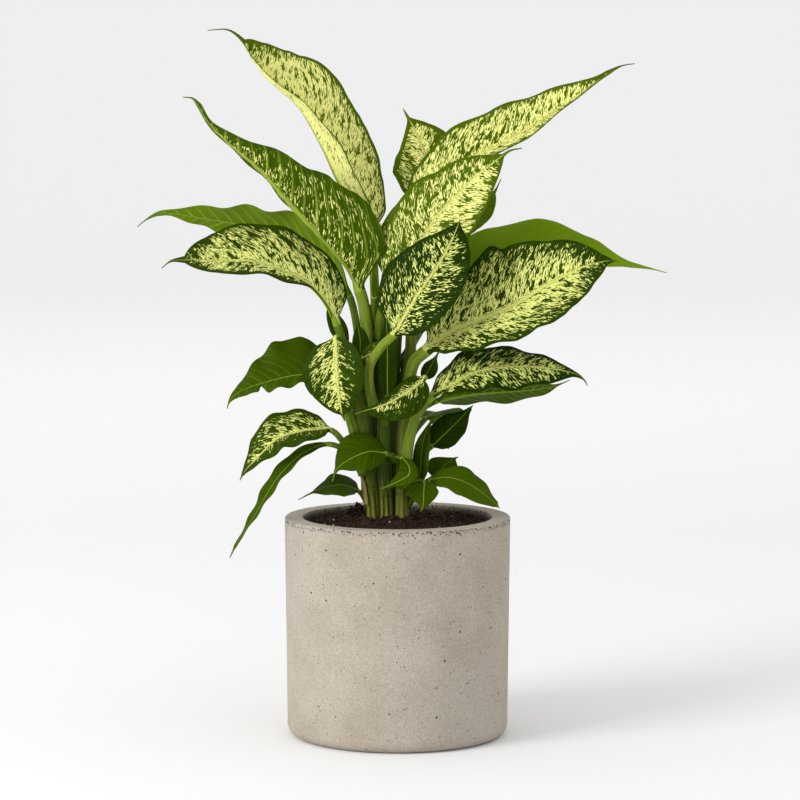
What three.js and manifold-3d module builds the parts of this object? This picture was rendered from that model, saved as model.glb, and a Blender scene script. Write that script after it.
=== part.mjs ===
// Potted dieffenbachia: variegated leaves on a cluster of canes in a cast concrete pot.
// Millimetres, +Z up, front towards -Y, origin at the middle of the pot's underside.
import * as THREE from 'three';
import { mergeVertices } from 'three/addons/utils/BufferGeometryUtils.js';
import Module from 'manifold-3d';

const wasm = await Module();
wasm.setup();

// Pot
const POT_HEIGHT = 195;
const POT_RIM_RADIUS = 100;
const POT_FOOT_RADIUS = 98;
const POT_WALL = 16.5;
const POT_FLOOR = 20;
const POT_FOOT_ROUND = 11;
const POT_EDGE_ROUND = 1.5;
const POT_SIDES = 64;
const POT_FOOT_STEPS = 4;
const POT_EDGE_STEPS = 2;

// Soil
const SOIL_EDGE_HEIGHT = 188;
const SOIL_MOUND_HEIGHT = 9;
const SOIL_MOUND_SPREAD = 34;
const SOIL_MOUND_X = -8;
const SOIL_RINGS = 6;
const SOIL_SIDES = 28;
const SOIL_LUMP = 0.9;
const SOIL_WALL_FROM = 184;
// Two crossing waves of the lumps: radians per mm along x and along y
const SOIL_WAVES = [[0.31, 0.17], [-0.11, 0.37]];

// Gap that touching pieces keep
const CLEARANCE = 0.3;

// Leaf sections
const BLADE_THICKNESS = 0.8;
const DRIP_HALF_WIDTH = 0.9;
const FOOT_HALF_WIDTH = 1.35;
const STALK_EDGE_ANGLE = THREE.MathUtils.degToRad(80);
const STALK_BLEND = 0.1;
const WAVE_PHASE = 1.9;
// The blade narrows into its drip tip from this place on, in a hollow curve
const TIP_FROM = 0.78;
const TIP_TAPER = 1.6;
const TIP_HALF_WIDTHS = [1.6, 2.6, 3.6];
// Powers of the outline's inner and outer curve
const INNER_CURVE = 2.2;
const INNER_FULLNESS = 0.6;
const OUTER_CURVE = 1.7;
// The keel under the midrib: its depth beside the stalk's radius, and how it runs out
const KEEL_DEPTH = 0.9;
const KEEL_TAPER = 0.8;
// Blades curl down a little towards their margins, in degrees
const MARGIN_DROOP = -6;

// Routes: samples between two points, and the share of the length that a direction is read over
const ROUTE_STEPS = 24;
const DIRECTION_REACH = 0.004;
const MERGE_TOLERANCE = 1e-4;

// Canes: a route through the middle, and the radius at the foot and at the top
const CANES = {
  cane_left: {
    route: [[-21, -4, 160], [-21.5, -4, 200], [-25, -4, 235], [-30, -4, 268], [-32.5, -3, 298],
      [-32, -2, 325]],
    radius: [5.6, 8.5],
  },
  cane_front: {
    route: [[-9.8, -9, 160], [-9.8, -9, 200], [-11.5, -10, 240], [-11.5, -10, 285], [-10, -10, 330],
      [-4, -9, 360]],
    radius: [6, 6.2],
  },
  cane_middle: {
    route: [[-11, 8, 160], [-11, 8, 200], [-15, 8, 235], [-19, 8, 268], [-21, 8, 305], [-20.5, 7, 345],
      [-20, 6, 382]],
    radius: [6.5, 5.4],
  },
  cane_right: {
    route: [[3.6, -6, 160], [3.6, -6, 205], [4.8, -5, 250], [8, -2, 300], [11.5, 2, 342], [12, 3, 366]],
    radius: [6.8, 4.8],
  },
  cane_back: {
    route: [[-1.2, 18.5, 160], [-1.2, 18.5, 200], [-3.6, 18.5, 250], [-3.6, 18.5, 300], [-1.5, 18.5, 345],
      [3, 19.5, 392], [6, 20, 418]],
    radius: [7, 4.6],
  },
};
const CANE_SIDES = 10;
const CANE_STEPS = 10;
const CANE_RING_SPACING = 24;
const CANE_RING_BULGE = 0.5;

// Leaves. stalk, rib and drip are one route: up the stalk, along the midrib, out to the drip tip.
// face: the way the upper side looks, at the foot and at the tip of the blade.
// half: widest half-widths, left and right of the midrib as seen from the stalk with the upper side up.
// fold: how far the two halves rise from flat, in degrees, at the foot and at the tip of the blade.
// broad: where each half is widest, from 0 at the blade's foot to 1 at its tip.
// taper: how drawn out each half is towards the tip. wave: height and number of waves along each margin.
// stem: radius of the stalk at its foot and at the blade. size: 0 small, 1 middling, 2 large.
// begins: where each half of the blade starts, if not at its foot. tip: half-width where the drip tip starts.
const LEAVES = {
  leaf_top_left: {
    stalk: [[-19, 8, 350], [-20, 18, 392]],
    rib: [[-24, 27, 436], [-38, 30, 466], [-53, 31, 494], [-66, 30, 522], [-87, 25, 557],
      [-105, 19, 573], [-117, 13, 585], [-129, 8, 601], [-136, 5, 613]],
    drip: [[-148, 2, 623], [-166, 0, 623]],
    face: [[0.78, -0.2, 0.6], [0.71, -0.45, 0.53]],
    half: [46, 52], fold: [44, 42], broad: [0.35, 0.42], taper: [1, 0.58], wave: [1.2, 3],
    stem: [4.5, 4], size: 2,
  },
  leaf_upper_left: {
    stalk: [[-32, -2, 316], [-27, -3, 338], [-29, -4, 378]],
    rib: [[-33, -5, 395], [-44, -8, 417], [-64, -11, 441], [-93, -16, 472], [-118, -21, 501],
      [-150, -25, 529], [-165, -27, 545], [-173, -28, 558]],
    drip: [[-178, -28, 564], [-186, -28, 565]],
    face: [[0.376, 0.82, 0.43], [0.5, 0.64, 0.58]],
    half: [49, 10], fold: [44, 26], broad: [0.26, 0.62], taper: [1.72, 1], wave: [1.6, 5],
    stem: [5.5, 5.2], size: 2, begins: [0, 0.25],
  },
  leaf_left_back: {
    stalk: [[-34, 2, 305], [-34, 12, 345]],
    rib: [[-42, 34, 386], [-58, 48, 412], [-84, 52, 432], [-115, 50, 446], [-145, 45, 453],
      [-175, 39, 458], [-210, 34, 462]],
    drip: [[-222, 31, 457], [-231, 30, 450]],
    face: [[0.3, 0.45, 0.8], [0, 0.55, 0.83]],
    half: [40, 33], fold: [10, 4], broad: [0.42, 0.45], taper: [0.9, 1.2], wave: [3, 5],
    stem: [4, 3.5], size: 2, tip: 4.5,
  },
  leaf_left_variegated: {
    stalk: [[-37, -6, 300], [-45, -11, 338]],
    rib: [[-53, -15, 366], [-65, -21, 390], [-80, -28, 405], [-98, -34, 415], [-123, -40, 423],
      [-150, -46, 424], [-184, -51, 425]],
    drip: [[-196, -51, 424], [-204, -50, 418]],
    face: [[0.35, -0.6, 0.7], [0, -0.62, 0.78]],
    half: [22, 44], fold: [18, 18], broad: [0.72, 0.5], taper: [0.6, 0.54], wave: [1.6, 4],
    stem: [4, 3.5], size: 2, tip: 4.5, begins: [0.26, 0],
  },
  leaf_left_dark: {
    stalk: [[-28, -9, 234], [-35, -11, 257], [-41, -9, 280], [-49, -4, 300]],
    rib: [[-60, -1, 316], [-83, -4, 321], [-108, -8, 317], [-134, -11, 309], [-143, -12, 304]],
    drip: [[-148, -12, 298], [-150, -12, 292]],
    face: [[0.3, -0.6, 0.74], [-0.2, -0.6, 0.77]],
    half: [13, 44], fold: [12, 6], broad: [0.6, 0.34], taper: [0.7, 1], wave: [2.4, 4],
    stem: [5.5, 3.4], size: 1, tip: 5,
  },
  leaf_round: {
    stalk: [[-34, -8, 306], [-42, -17, 340]],
    rib: [[-53, -26, 356], [-53.5, -33, 340], [-52.5, -37, 322], [-50.5, -38, 303], [-48, -35, 289]],
    drip: [[-46, -33, 283]],
    face: [[-0.3, -0.6, 0.75], [-0.35, -0.93, -0.1]],
    half: [25, 33], fold: [8, -4], broad: [0.5, 0.5], taper: [0.6, 0.6], wave: [1, 2],
    stem: [3.5, 3], size: 1, tip: 2,
  },
  leaf_low_left: {
    stalk: [[-33, -7, 244], [-46, -11, 260]],
    rib: [[-58, -15, 273], [-75, -20, 274], [-93, -25, 271], [-106, -28, 266], [-118, -31, 255],
      [-127, -33, 246], [-135, -34, 237]],
    drip: [[-138, -34, 231]],
    face: [[0.2, -0.5, 0.84], [-0.4, -0.5, 0.77]],
    half: [19, 29], fold: [16, 8], broad: [0.4, 0.45], taper: [0.9, 0.9], wave: [1.6, 4],
    stem: [3.2, 2.6], size: 1,
  },
  leaf_long_drooping: {
    stalk: [[-31, -9, 234], [-44, -16, 254]],
    rib: [[-58, -19, 261], [-69, -22, 260], [-84, -26, 253], [-98, -30, 241], [-110, -33, 226],
      [-121, -35, 207], [-131, -36, 191], [-142, -37, 173]],
    drip: [[-147, -37, 163]],
    face: [[0.1, -0.6, 0.8], [-0.6, -0.6, 0.5]],
    half: [7.5, 7.5], fold: [34, 24], broad: [0.4, 0.4], taper: [1, 1], wave: [1.4, 5],
    stem: [3, 2.4], size: 1, tip: 2,
  },
  leaf_centre_dark: {
    stalk: [[-19, -12, 288], [-24.5, -20, 312], [-24, -29, 332], [-13, -37, 350]],
    rib: [[-3.5, -43, 359.5], [6.5, -49, 377], [16, -55, 393], [26, -60, 408], [36, -62, 423],
      [45, -61, 439], [52, -56, 455]],
    drip: [[54, -54, 460]],
    face: [[-0.5, -0.85, 0.15], [-0.15, -0.93, 0.33]],
    half: [39, 32], fold: [10, 0], broad: [0.38, 0.52], taper: [0.7, 0.7], wave: [1.6, 3],
    stem: [4.6, 3.8], size: 2,
  },
  leaf_centre_sliver: {
    stalk: [[-20, 0, 336], [-10, -7, 352]],
    rib: [[-11, -13, 350], [-20, -15, 343], [-31, -17, 337], [-41, -17, 334]],
    drip: [[-47, -17, 332]],
    face: [[0.2, -0.8, 0.5], [0, -0.8, 0.6]],
    half: [9, 8], fold: [8, 0], broad: [0.4, 0.4], taper: [0.8, 0.8], wave: [0.4, 2],
    stem: [2.4, 2], size: 0,
  },
  leaf_front_small: {
    stalk: [[-3, -14, 247], [-4, -18, 250.5]],
    rib: [[-10, -22, 253], [-23, -30, 256], [-33, -36, 254], [-44, -41, 249], [-53, -44, 242]],
    drip: [[-57, -45, 231]],
    face: [[0.1, -0.7, 0.7], [-0.4, -0.8, 0.4]],
    half: [18, 24], fold: [8, 0], broad: [0.5, 0.5], taper: [0.9, 0.9], wave: [1.2, 2],
    stem: [3, 2.4], size: 1, tip: 2.4,
  },
  leaf_foot_left: {
    stalk: [[-26, -2, 203], [-29, 4, 209]],
    rib: [[-34, 5, 216], [-48, 3, 222], [-62, 0, 221], [-76, -2, 216]],
    drip: [[-88, -4, 210]],
    face: [[0.3, -0.35, 0.89], [-0.2, -0.35, 0.91]],
    half: [19, 19], fold: [10, 0], broad: [0.45, 0.45], taper: [1.1, 1.1], wave: [0.8, 2],
    stem: [2.6, 2], size: 0,
  },
  leaf_front_tiny: {
    stalk: [[2, -13, 244], [-0.5, -20, 250]],
    rib: [[3, -22, 249.5], [9.5, -27, 243], [10, -31, 236], [2, -35, 231], [-8, -37, 226.5]],
    drip: [[-14, -37, 224]],
    face: [[0.4, -0.6, 0.7], [0, -0.9, 0.4]],
    half: [8, 9], fold: [8, 0], broad: [0.45, 0.45], taper: [0.9, 0.9], wave: [0.5, 2],
    stem: [2.2, 1.8], size: 0, tip: 2,
  },
  leaf_foot_front: {
    stalk: [[8, -10, 214], [17, -15, 228]],
    rib: [[23, -19, 228], [23, -24, 219], [22, -27.5, 206]],
    drip: [[20, -28, 203]],
    face: [[0, -0.6, 0.8], [0, -0.95, 0.3]],
    half: [13, 15], fold: [8, 0], broad: [0.4, 0.4], taper: [1, 1], wave: [0.5, 2],
    stem: [2.2, 1.8], size: 0, tip: 1.4,
  },
  leaf_low_right: {
    stalk: [[8, -5, 204], [18, -8, 217]],
    rib: [[28, -9, 227], [38, -12, 230.5], [49, -15, 230.5], [62, -18, 226], [75, -21, 218], [86, -23, 208.5]],
    drip: [[90, -24, 205]],
    face: [[-0.2, -0.5, 0.84], [0.3, -0.5, 0.81]],
    half: [17, 19], fold: [12, 4], broad: [0.45, 0.6], taper: [0.8, 0.7], wave: [1.2, 3],
    stem: [3, 2.4], size: 1, tip: 5,
  },
  leaf_low_right_back: {
    stalk: [[8, 1, 214], [22, 6, 223]],
    rib: [[31, 10, 228], [42, 16, 238], [51, 21, 244]],
    drip: [[54, 23, 245]],
    face: [[-0.4, -0.6, 0.7], [-0.2, -0.6, 0.77]],
    half: [18, 18], fold: [8, 0], broad: [0.5, 0.5], taper: [0.9, 0.9], wave: [0.8, 2],
    stem: [2.4, 2], size: 0,
  },
  leaf_upright: {
    stalk: [[9, -4, 212], [14, -3, 217]],
    rib: [[18, -3, 223], [20.5, -3, 236], [21.5, -3, 250], [23.5, -3, 264], [29, -2.5, 278]],
    drip: [[37, -1, 286]],
    face: [[-0.7, -0.7, 0.1], [-0.5, -0.7, 0.5]],
    half: [9, 11], fold: [20, 10], broad: [0.4, 0.4], taper: [0.9, 0.9], wave: [0.5, 2],
    stem: [2.4, 2], size: 0,
  },
  leaf_right_small: {
    stalk: [[7, 0, 236], [19, 9, 247]],
    rib: [[30, 14, 255], [40, 17, 264], [49, 19, 272.5], [58, 20, 281.5], [64, 21, 288]],
    drip: [[67, 21, 291.5]],
    face: [[-0.4, -0.8, 0.45], [-0.3, -0.8, 0.5]],
    half: [17, 15], fold: [8, 0], broad: [0.4, 0.42], taper: [1, 1], wave: [1, 2],
    stem: [2.6, 2.2], size: 0, tip: 2.5,
  },
  leaf_right_middle: {
    stalk: [[6, -12, 222], [8, -14, 250], [11, -16, 268], [17, -19, 287]],
    rib: [[27, -24, 301], [50, -34, 317], [64, -38, 325], [82, -42, 330], [106, -46, 332],
      [128, -48, 331], [154, -49, 326]],
    drip: [[162, -49, 321], [165, -48, 316]],
    face: [[-0.3, -0.6, 0.74], [0.1, -0.6, 0.79]],
    half: [31, 26], fold: [6, 0], broad: [0.34, 0.55], taper: [0.75, 0.75], wave: [2, 4],
    stem: [6, 4], size: 2, begins: [0, 0.12],
  },
  leaf_right_under: {
    stalk: [[11, -1, 268], [20, 4, 288]],
    rib: [[33, 8, 296], [60, 12, 302], [90, 12, 305], [118, 9, 307], [140, 4, 311]],
    drip: [[152, 0, 316]],
    face: [[-0.3, 0.4, 0.87], [0, 0.5, 0.86]],
    half: [28, 28], fold: [10, 0], broad: [0.3, 0.32], taper: [0.7, 0.7], wave: [1.6, 3],
    stem: [3.4, 2.6], size: 1,
  },
  leaf_right_sheath: {
    stalk: [[12, 0, 296], [19, 5, 305]],
    rib: [[23, 8, 316], [29, 9, 326], [34, 9, 335.5]],
    drip: [[37, 9, 341]],
    face: [[-0.5, -0.85, 0.1], [-0.5, -0.85, 0.1]],
    half: [7, 9], fold: [20, 10], broad: [0.45, 0.45], taper: [0.9, 0.9], wave: [0.3, 2],
    stem: [2.4, 2], size: 0,
  },
  leaf_lower_centre: {
    stalk: [[12, -9, 294], [18, -19, 314]],
    rib: [[24, -29, 321], [18, -36, 316], [3, -43, 306], [-11, -47, 299], [-28, -50, 294]],
    drip: [[-37, -50, 291]],
    face: [[0.2, -0.7, 0.7], [-0.1, -0.8, 0.6]],
    half: [22, 11], fold: [6, 0], broad: [0.5, 0.25], taper: [0.9, 1], wave: [1, 2],
    stem: [3, 2.6], size: 1, begins: [0.06, 0],
  },
  leaf_right_large: {
    stalk: [[10, -8, 304], [11, -11, 321], [15, -15, 334]],
    rib: [[25, -23, 344], [49, -30, 362], [81, -38, 376], [105, -43, 388], [121, -46, 398],
      [142, -48, 410], [161, -49, 419], [180, -49, 424]],
    drip: [[191, -48, 424]],
    face: [[-0.4, -0.7, 0.6], [-0.2, -0.74, 0.64]],
    half: [58, 46], fold: [20, 18], broad: [0.48, 0.66], taper: [0.75, 0.6], wave: [2, 5],
    stem: [5.5, 5.5], size: 2, tip: 6,
  },
  leaf_right_back: {
    stalk: [[2, 16, 302], [11, 15, 340], [20, 20, 364]],
    rib: [[34, 32, 384], [62, 44, 405], [92, 48, 421], [130, 46, 430], [162, 40, 425],
      [188, 32, 419], [208, 25, 416]],
    drip: [[226, 19, 413], [238, 15, 410]],
    face: [[-0.3, -0.5, 0.81], [0.1, -0.5, 0.86]],
    half: [42, 32], fold: [16, 10], broad: [0.42, 0.45], taper: [0.9, 1], wave: [1.6, 4],
    stem: [4, 3.5], size: 2, tip: 4.5,
  },
  leaf_centre_pale: {
    stalk: [[-17, 0, 352], [-14, -5, 380]],
    rib: [[-8, -8, 395], [2, -13, 412], [13, -17, 428], [25, -20, 446], [33, -22, 460],
      [50, -25, 478], [65, -27, 494], [80, -28, 506], [92, -28, 515]],
    drip: [[98, -28, 519], [108, -27, 521]],
    face: [[-0.5, -0.8, 0.3], [-0.35, -0.9, 0.25]],
    half: [42, 40], fold: [12, 4], broad: [0.36, 0.42], taper: [0.85, 0.8], wave: [1.6, 4],
    stem: [4.5, 4], size: 2, tip: 1.6,
  },
  leaf_rolled: {
    stalk: [[-20, 1, 366], [-20, -5, 380]],
    rib: [[-20, -9, 390], [-21, -12, 402], [-21.5, -15, 414]],
    drip: [[-21.5, -17, 426]],
    face: [[0.6, -0.8, 0], [0.6, -0.8, 0]],
    half: [5, 5], fold: [40, 40], broad: [0.3, 0.3], taper: [1, 1], wave: [0.2, 1],
    stem: [3.4, 3.4], size: 0,
  },
  leaf_top_right: {
    stalk: [[6, 20, 392], [5, 21, 428]],
    rib: [[10, 21, 458], [28, 19, 482], [58, 16, 507], [97, 11, 527], [125, 6, 543],
      [148, 2, 560], [171, -2, 576], [184, -4, 585]],
    drip: [[196, -6, 592], [207, -8, 594]],
    face: [[-0.5, -0.62, 0.6], [-0.46, -0.64, 0.62]],
    half: [34, 31], fold: [32, 36], broad: [0.46, 0.4], taper: [1.1, 1.3], wave: [1.4, 4],
    stem: [4, 3.6], size: 2,
  },
  leaf_top_small: {
    stalk: [[7, 22, 412], [14, 30, 440]],
    rib: [[21, 38, 468], [26, 44, 496], [22, 46, 520], [9, 44, 547]],
    drip: [[5, 43, 554]],
    face: [[0, -0.95, 0.3], [0.1, -0.97, 0.2]],
    half: [30, 32], fold: [8, 0], broad: [0.45, 0.5], taper: [1.25, 1.15], wave: [1, 2],
    stem: [3.4, 3], size: 1, tip: 1.2,
  },
  leaf_centre_back: {
    stalk: [[7, 23, 384], [14, 36, 415]],
    rib: [[28, 44, 434], [50, 46, 448], [70, 44, 462], [86, 41, 480]],
    drip: [[92, 39, 492]],
    face: [[-0.5, -0.4, 0.77], [-0.5, -0.5, 0.7]],
    half: [20, 24], fold: [10, 0], broad: [0.5, 0.6], taper: [0.7, 0.6], wave: [1, 3],
    stem: [3.2, 2.8], size: 1,
  },
  leaf_left_sliver: {
    stalk: [[-34, 2, 322], [-42, 8, 334]],
    rib: [[-46, 12, 345], [-53, 16, 362], [-61, 18, 380]],
    drip: [[-66, 18, 394]],
    face: [[0.5, -0.8, 0.3], [0.5, -0.8, 0.3]],
    half: [9, 9], fold: [10, 0], broad: [0.5, 0.5], taper: [0.7, 0.7], wave: [0.4, 2],
    stem: [2.6, 2.2], size: 0,
  },
  leaf_left_sheath: {
    stalk: [[-31, -5, 320], [-32, -8, 330]],
    rib: [[-33, -10, 338], [-33, -11, 352], [-35, -12, 366]],
    drip: [[-36, -12, 376]],
    face: [[0.4, -0.9, 0.1], [0.4, -0.9, 0.1]],
    half: [8.5, 8.5], fold: [25, 10], broad: [0.4, 0.4], taper: [0.9, 0.9], wave: [0.2, 1],
    stem: [2.4, 2], size: 0,
  },
  leaf_centre_sheath: {
    stalk: [[-11, -13, 276], [-10, -19, 290]],
    rib: [[-9, -20, 302], [-9, -20, 325], [-9, -19, 350], [-10, -17, 372]],
    drip: [[-11, -16, 384]],
    face: [[0.15, -0.98, 0.1], [0.15, -0.98, 0.1]],
    half: [9, 9], fold: [24, 16], broad: [0.42, 0.42], taper: [0.9, 0.9], wave: [0.3, 1],
    stem: [2.6, 2.2], size: 0,
  },
  leaf_rear_high: {
    stalk: [[4, 22, 362], [-4, 40, 398]],
    rib: [[-14, 60, 422], [-24, 84, 440], [-30, 110, 446], [-33, 136, 438], [-33, 158, 420]],
    drip: [[-32, 168, 406]],
    face: [[0.1, -0.6, 0.79], [-0.1, 0.3, 0.95]],
    half: [40, 42], fold: [16, 6], broad: [0.42, 0.42], taper: [0.8, 0.8], wave: [2, 4],
    stem: [4, 3.4], size: 2,
  },
  leaf_rear_right: {
    stalk: [[1, 21, 326], [21, 38, 358]],
    rib: [[34, 56, 380], [48, 78, 394], [60, 102, 396], [70, 126, 384], [76, 144, 366]],
    drip: [[78, 151, 352]],
    face: [[-0.3, -0.5, 0.81], [0.2, 0.3, 0.93]],
    half: [36, 34], fold: [14, 4], broad: [0.45, 0.45], taper: [0.8, 0.8], wave: [1.8, 4],
    stem: [3.8, 3.2], size: 2,
  },
  leaf_rear_left: {
    stalk: [[-12, 10, 290], [-20, 30, 314]],
    rib: [[-28, 46, 326], [-38, 68, 334], [-46, 92, 330], [-51, 114, 314], [-53, 130, 292]],
    drip: [[-53, 136, 278]],
    face: [[0.3, -0.5, 0.81], [-0.2, 0.3, 0.93]],
    half: [30, 32], fold: [14, 4], broad: [0.45, 0.45], taper: [0.8, 0.8], wave: [1.6, 3],
    stem: [3.6, 3], size: 1,
  },
  leaf_rear_low: {
    stalk: [[3, 21, 242], [14, 38, 264]],
    rib: [[24, 52, 275], [34, 72, 280], [42, 94, 273], [46, 112, 255]],
    drip: [[47, 118, 241]],
    face: [[-0.3, -0.5, 0.81], [0.2, 0.3, 0.93]],
    half: [24, 24], fold: [14, 4], broad: [0.45, 0.45], taper: [0.8, 0.8], wave: [1.4, 3],
    stem: [3.2, 2.6], size: 1,
  },
};

// Rings along the blade by the leaf's size, then along the stalk and the drip tip
const SIZE_STATIONS = [7, 10, 14];
const STALK_STATIONS = 3;
const DRIP_STATIONS = 3;
// Strips across each half of a blade
const ACROSS = 2;

const COLOURS = {
  concrete: 0xb8afa0,
  soil: 0x3a2a20,
  cane: 0x8a9a3c,
  leaf: 0x5c8a24,
};

function material(colour, roughness) {
  return new THREE.MeshStandardMaterial({ color: colour, roughness, metalness: 0 });
}

const concrete = material(COLOURS.concrete, 0.9);
const peatSoil = material(COLOURS.soil, 0.95);
const greenCane = material(COLOURS.cane, 0.5);
const greenLeaf = material(COLOURS.leaf, 0.45);

const potted = new THREE.Group();

function addMesh(name, geometry, look) {
  const mesh = new THREE.Mesh(geometry, look);
  mesh.name = name;
  potted.add(mesh);
}

// Solids for joining and cutting
function toSolid(geometry) {
  const bare = geometry.clone();
  bare.deleteAttribute('normal');
  bare.deleteAttribute('uv');
  const merged = mergeVertices(bare, MERGE_TOLERANCE);
  const vertProperties = new Float32Array(merged.attributes.position.array);
  const triVerts = new Uint32Array(merged.index.array);
  return new wasm.Manifold(new wasm.Mesh({ numProp: 3, vertProperties, triVerts }));
}

function toGeometry(solid) {
  const mesh = solid.getMesh();
  const geometry = new THREE.BufferGeometry();
  geometry.setAttribute('position', new THREE.BufferAttribute(new Float32Array(mesh.vertProperties), 3));
  geometry.setIndex(new THREE.BufferAttribute(new Uint32Array(mesh.triVerts), 1));
  geometry.computeVertexNormals();
  return geometry;
}

// The largest piece of a cut solid
function largestPiece(solid) {
  const pieces = solid.decompose();
  pieces.sort((a, b) => b.volume() - a.volume());
  return pieces[0];
}

// A closed loft: rings of equally many points, joined by quads, with a flat strip at each end.
// Each ring runs along its upper side and back along its lower side.
function loft(rings) {
  const count = rings[0].length;
  const half = count / 2;
  const positions = [];
  for (const ring of rings) {
    for (const point of ring) {
      positions.push(point.x, point.y, point.z);
    }
  }
  const indices = [];
  for (let i = 0; i < rings.length - 1; i += 1) {
    for (let j = 0; j < count; j += 1) {
      const next = (j + 1) % count;
      const a = i * count + j;
      const b = i * count + next;
      const c = (i + 1) * count + next;
      const d = (i + 1) * count + j;
      if (j < half) {
        indices.push(a, b, d, b, c, d);
      } else {
        indices.push(a, b, c, a, c, d);
      }
    }
  }
  const last = (rings.length - 1) * count;
  for (let j = 0; j < half - 1; j += 1) {
    const opposite = count - 1 - j;
    indices.push(j, opposite, j + 1, j + 1, opposite, opposite - 1);
    indices.push(last + j, last + j + 1, last + opposite, last + j + 1, last + opposite - 1, last + opposite);
  }
  const geometry = new THREE.BufferGeometry();
  geometry.setAttribute('position', new THREE.Float32BufferAttribute(positions, 3));
  geometry.setIndex(indices);
  geometry.computeVertexNormals();
  return geometry;
}

// A smooth route through points, read by length
function makeRoute(points) {
  const vectors = points.map((point) => new THREE.Vector3(...point));
  const curve = new THREE.CatmullRomCurve3(vectors, false, 'centripetal');
  const steps = (points.length - 1) * ROUTE_STEPS;
  const samples = [curve.getPoint(0)];
  const lengths = [0];
  for (let i = 1; i <= steps; i += 1) {
    const point = curve.getPoint(i / steps);
    lengths.push(lengths[i - 1] + point.distanceTo(samples[i - 1]));
    samples.push(point);
  }
  const total = lengths[steps];
  const at = (length) => {
    const wanted = THREE.MathUtils.clamp(length, 0, total);
    let i = 1;
    while (i < steps && lengths[i] < wanted) {
      i += 1;
    }
    const share = (wanted - lengths[i - 1]) / (lengths[i] - lengths[i - 1]);
    return samples[i - 1].clone().lerp(samples[i], share);
  };
  const along = (length) => {
    const reach = total * DIRECTION_REACH;
    return at(length + reach).sub(at(length - reach)).normalize();
  };
  const lengthOfPoint = (index) => lengths[index * ROUTE_STEPS];
  return { at, along, total, lengthOfPoint };
}

// The pot: a turned wall and floor with rounded edges
function potGeometry() {
  const profile = [];
  const corner = (x, y, radius, from, to, steps) => {
    for (let i = 0; i <= steps; i += 1) {
      const angle = THREE.MathUtils.degToRad(from + (to - from) * (i / steps));
      profile.push(new THREE.Vector2(x + radius * Math.cos(angle), y + radius * Math.sin(angle)));
    }
  };
  const innerTop = POT_RIM_RADIUS - POT_WALL;
  const innerFoot = POT_FOOT_RADIUS - POT_WALL;
  profile.push(new THREE.Vector2(0, 0));
  corner(POT_FOOT_RADIUS - POT_FOOT_ROUND, POT_FOOT_ROUND, POT_FOOT_ROUND, -90, 0, POT_FOOT_STEPS);
  corner(POT_RIM_RADIUS - POT_EDGE_ROUND, POT_HEIGHT - POT_EDGE_ROUND, POT_EDGE_ROUND, 0, 90, POT_EDGE_STEPS);
  corner(innerTop + POT_EDGE_ROUND, POT_HEIGHT - POT_EDGE_ROUND, POT_EDGE_ROUND, 90, 180, POT_EDGE_STEPS);
  profile.push(new THREE.Vector2(innerFoot, POT_FLOOR));
  profile.push(new THREE.Vector2(0, POT_FLOOR));
  const geometry = new THREE.LatheGeometry(profile, POT_SIDES);
  geometry.rotateX(Math.PI / 2);
  return geometry;
}

// Height of the soil: a mound round the canes, with low lumps
function soilHeight(x, y) {
  const away = (x - SOIL_MOUND_X) ** 2 + y * y;
  const mound = SOIL_MOUND_HEIGHT * Math.exp(-away / (SOIL_MOUND_SPREAD ** 2));
  let lumps = 0;
  for (const [alongX, alongY] of SOIL_WAVES) {
    lumps += Math.sin(x * alongX + y * alongY);
  }
  return SOIL_EDGE_HEIGHT + mound + SOIL_LUMP * lumps;
}

// The soil: it fills the pot to just under the rim
function soilGeometry() {
  const innerTop = POT_RIM_RADIUS - POT_WALL;
  const innerFoot = POT_FOOT_RADIUS - POT_WALL;
  const draft = (innerTop - innerFoot) / (POT_HEIGHT - POT_FLOOR);
  // the middle of a facet of the pot lies a little inside its radius
  const chord = Math.cos(Math.PI / POT_SIDES);
  const wallRadius = (height) => (innerFoot + draft * (height - POT_FLOOR)) * chord - CLEARANCE;
  const positions = [0, 0, soilHeight(0, 0)];
  for (let ring = 1; ring <= SOIL_RINGS; ring += 1) {
    for (let side = 0; side < SOIL_SIDES; side += 1) {
      const angle = (2 * Math.PI * side) / SOIL_SIDES;
      const radius = (wallRadius(SOIL_WALL_FROM) * ring) / SOIL_RINGS;
      const x = radius * Math.cos(angle);
      const y = radius * Math.sin(angle);
      positions.push(x, y, soilHeight(x, y));
    }
  }
  const floorHeight = POT_FLOOR + CLEARANCE;
  for (let side = 0; side < SOIL_SIDES; side += 1) {
    const angle = (2 * Math.PI * side) / SOIL_SIDES;
    const radius = wallRadius(floorHeight);
    positions.push(radius * Math.cos(angle), radius * Math.sin(angle), floorHeight);
  }
  positions.push(0, 0, floorHeight);
  const indices = [];
  const vertex = (ring, side) => 1 + (ring - 1) * SOIL_SIDES + (side % SOIL_SIDES);
  const bottom = 1 + (SOIL_RINGS + 1) * SOIL_SIDES;
  for (let side = 0; side < SOIL_SIDES; side += 1) {
    indices.push(0, vertex(1, side), vertex(1, side + 1));
    for (let ring = 1; ring <= SOIL_RINGS; ring += 1) {
      const a = vertex(ring, side);
      const b = vertex(ring + 1, side);
      const c = vertex(ring + 1, side + 1);
      const d = vertex(ring, side + 1);
      indices.push(a, b, c, a, c, d);
    }
    indices.push(bottom, vertex(SOIL_RINGS + 1, side + 1), vertex(SOIL_RINGS + 1, side));
  }
  const geometry = new THREE.BufferGeometry();
  geometry.setAttribute('position', new THREE.Float32BufferAttribute(positions, 3));
  geometry.setIndex(indices);
  geometry.computeVertexNormals();
  return geometry;
}

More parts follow.
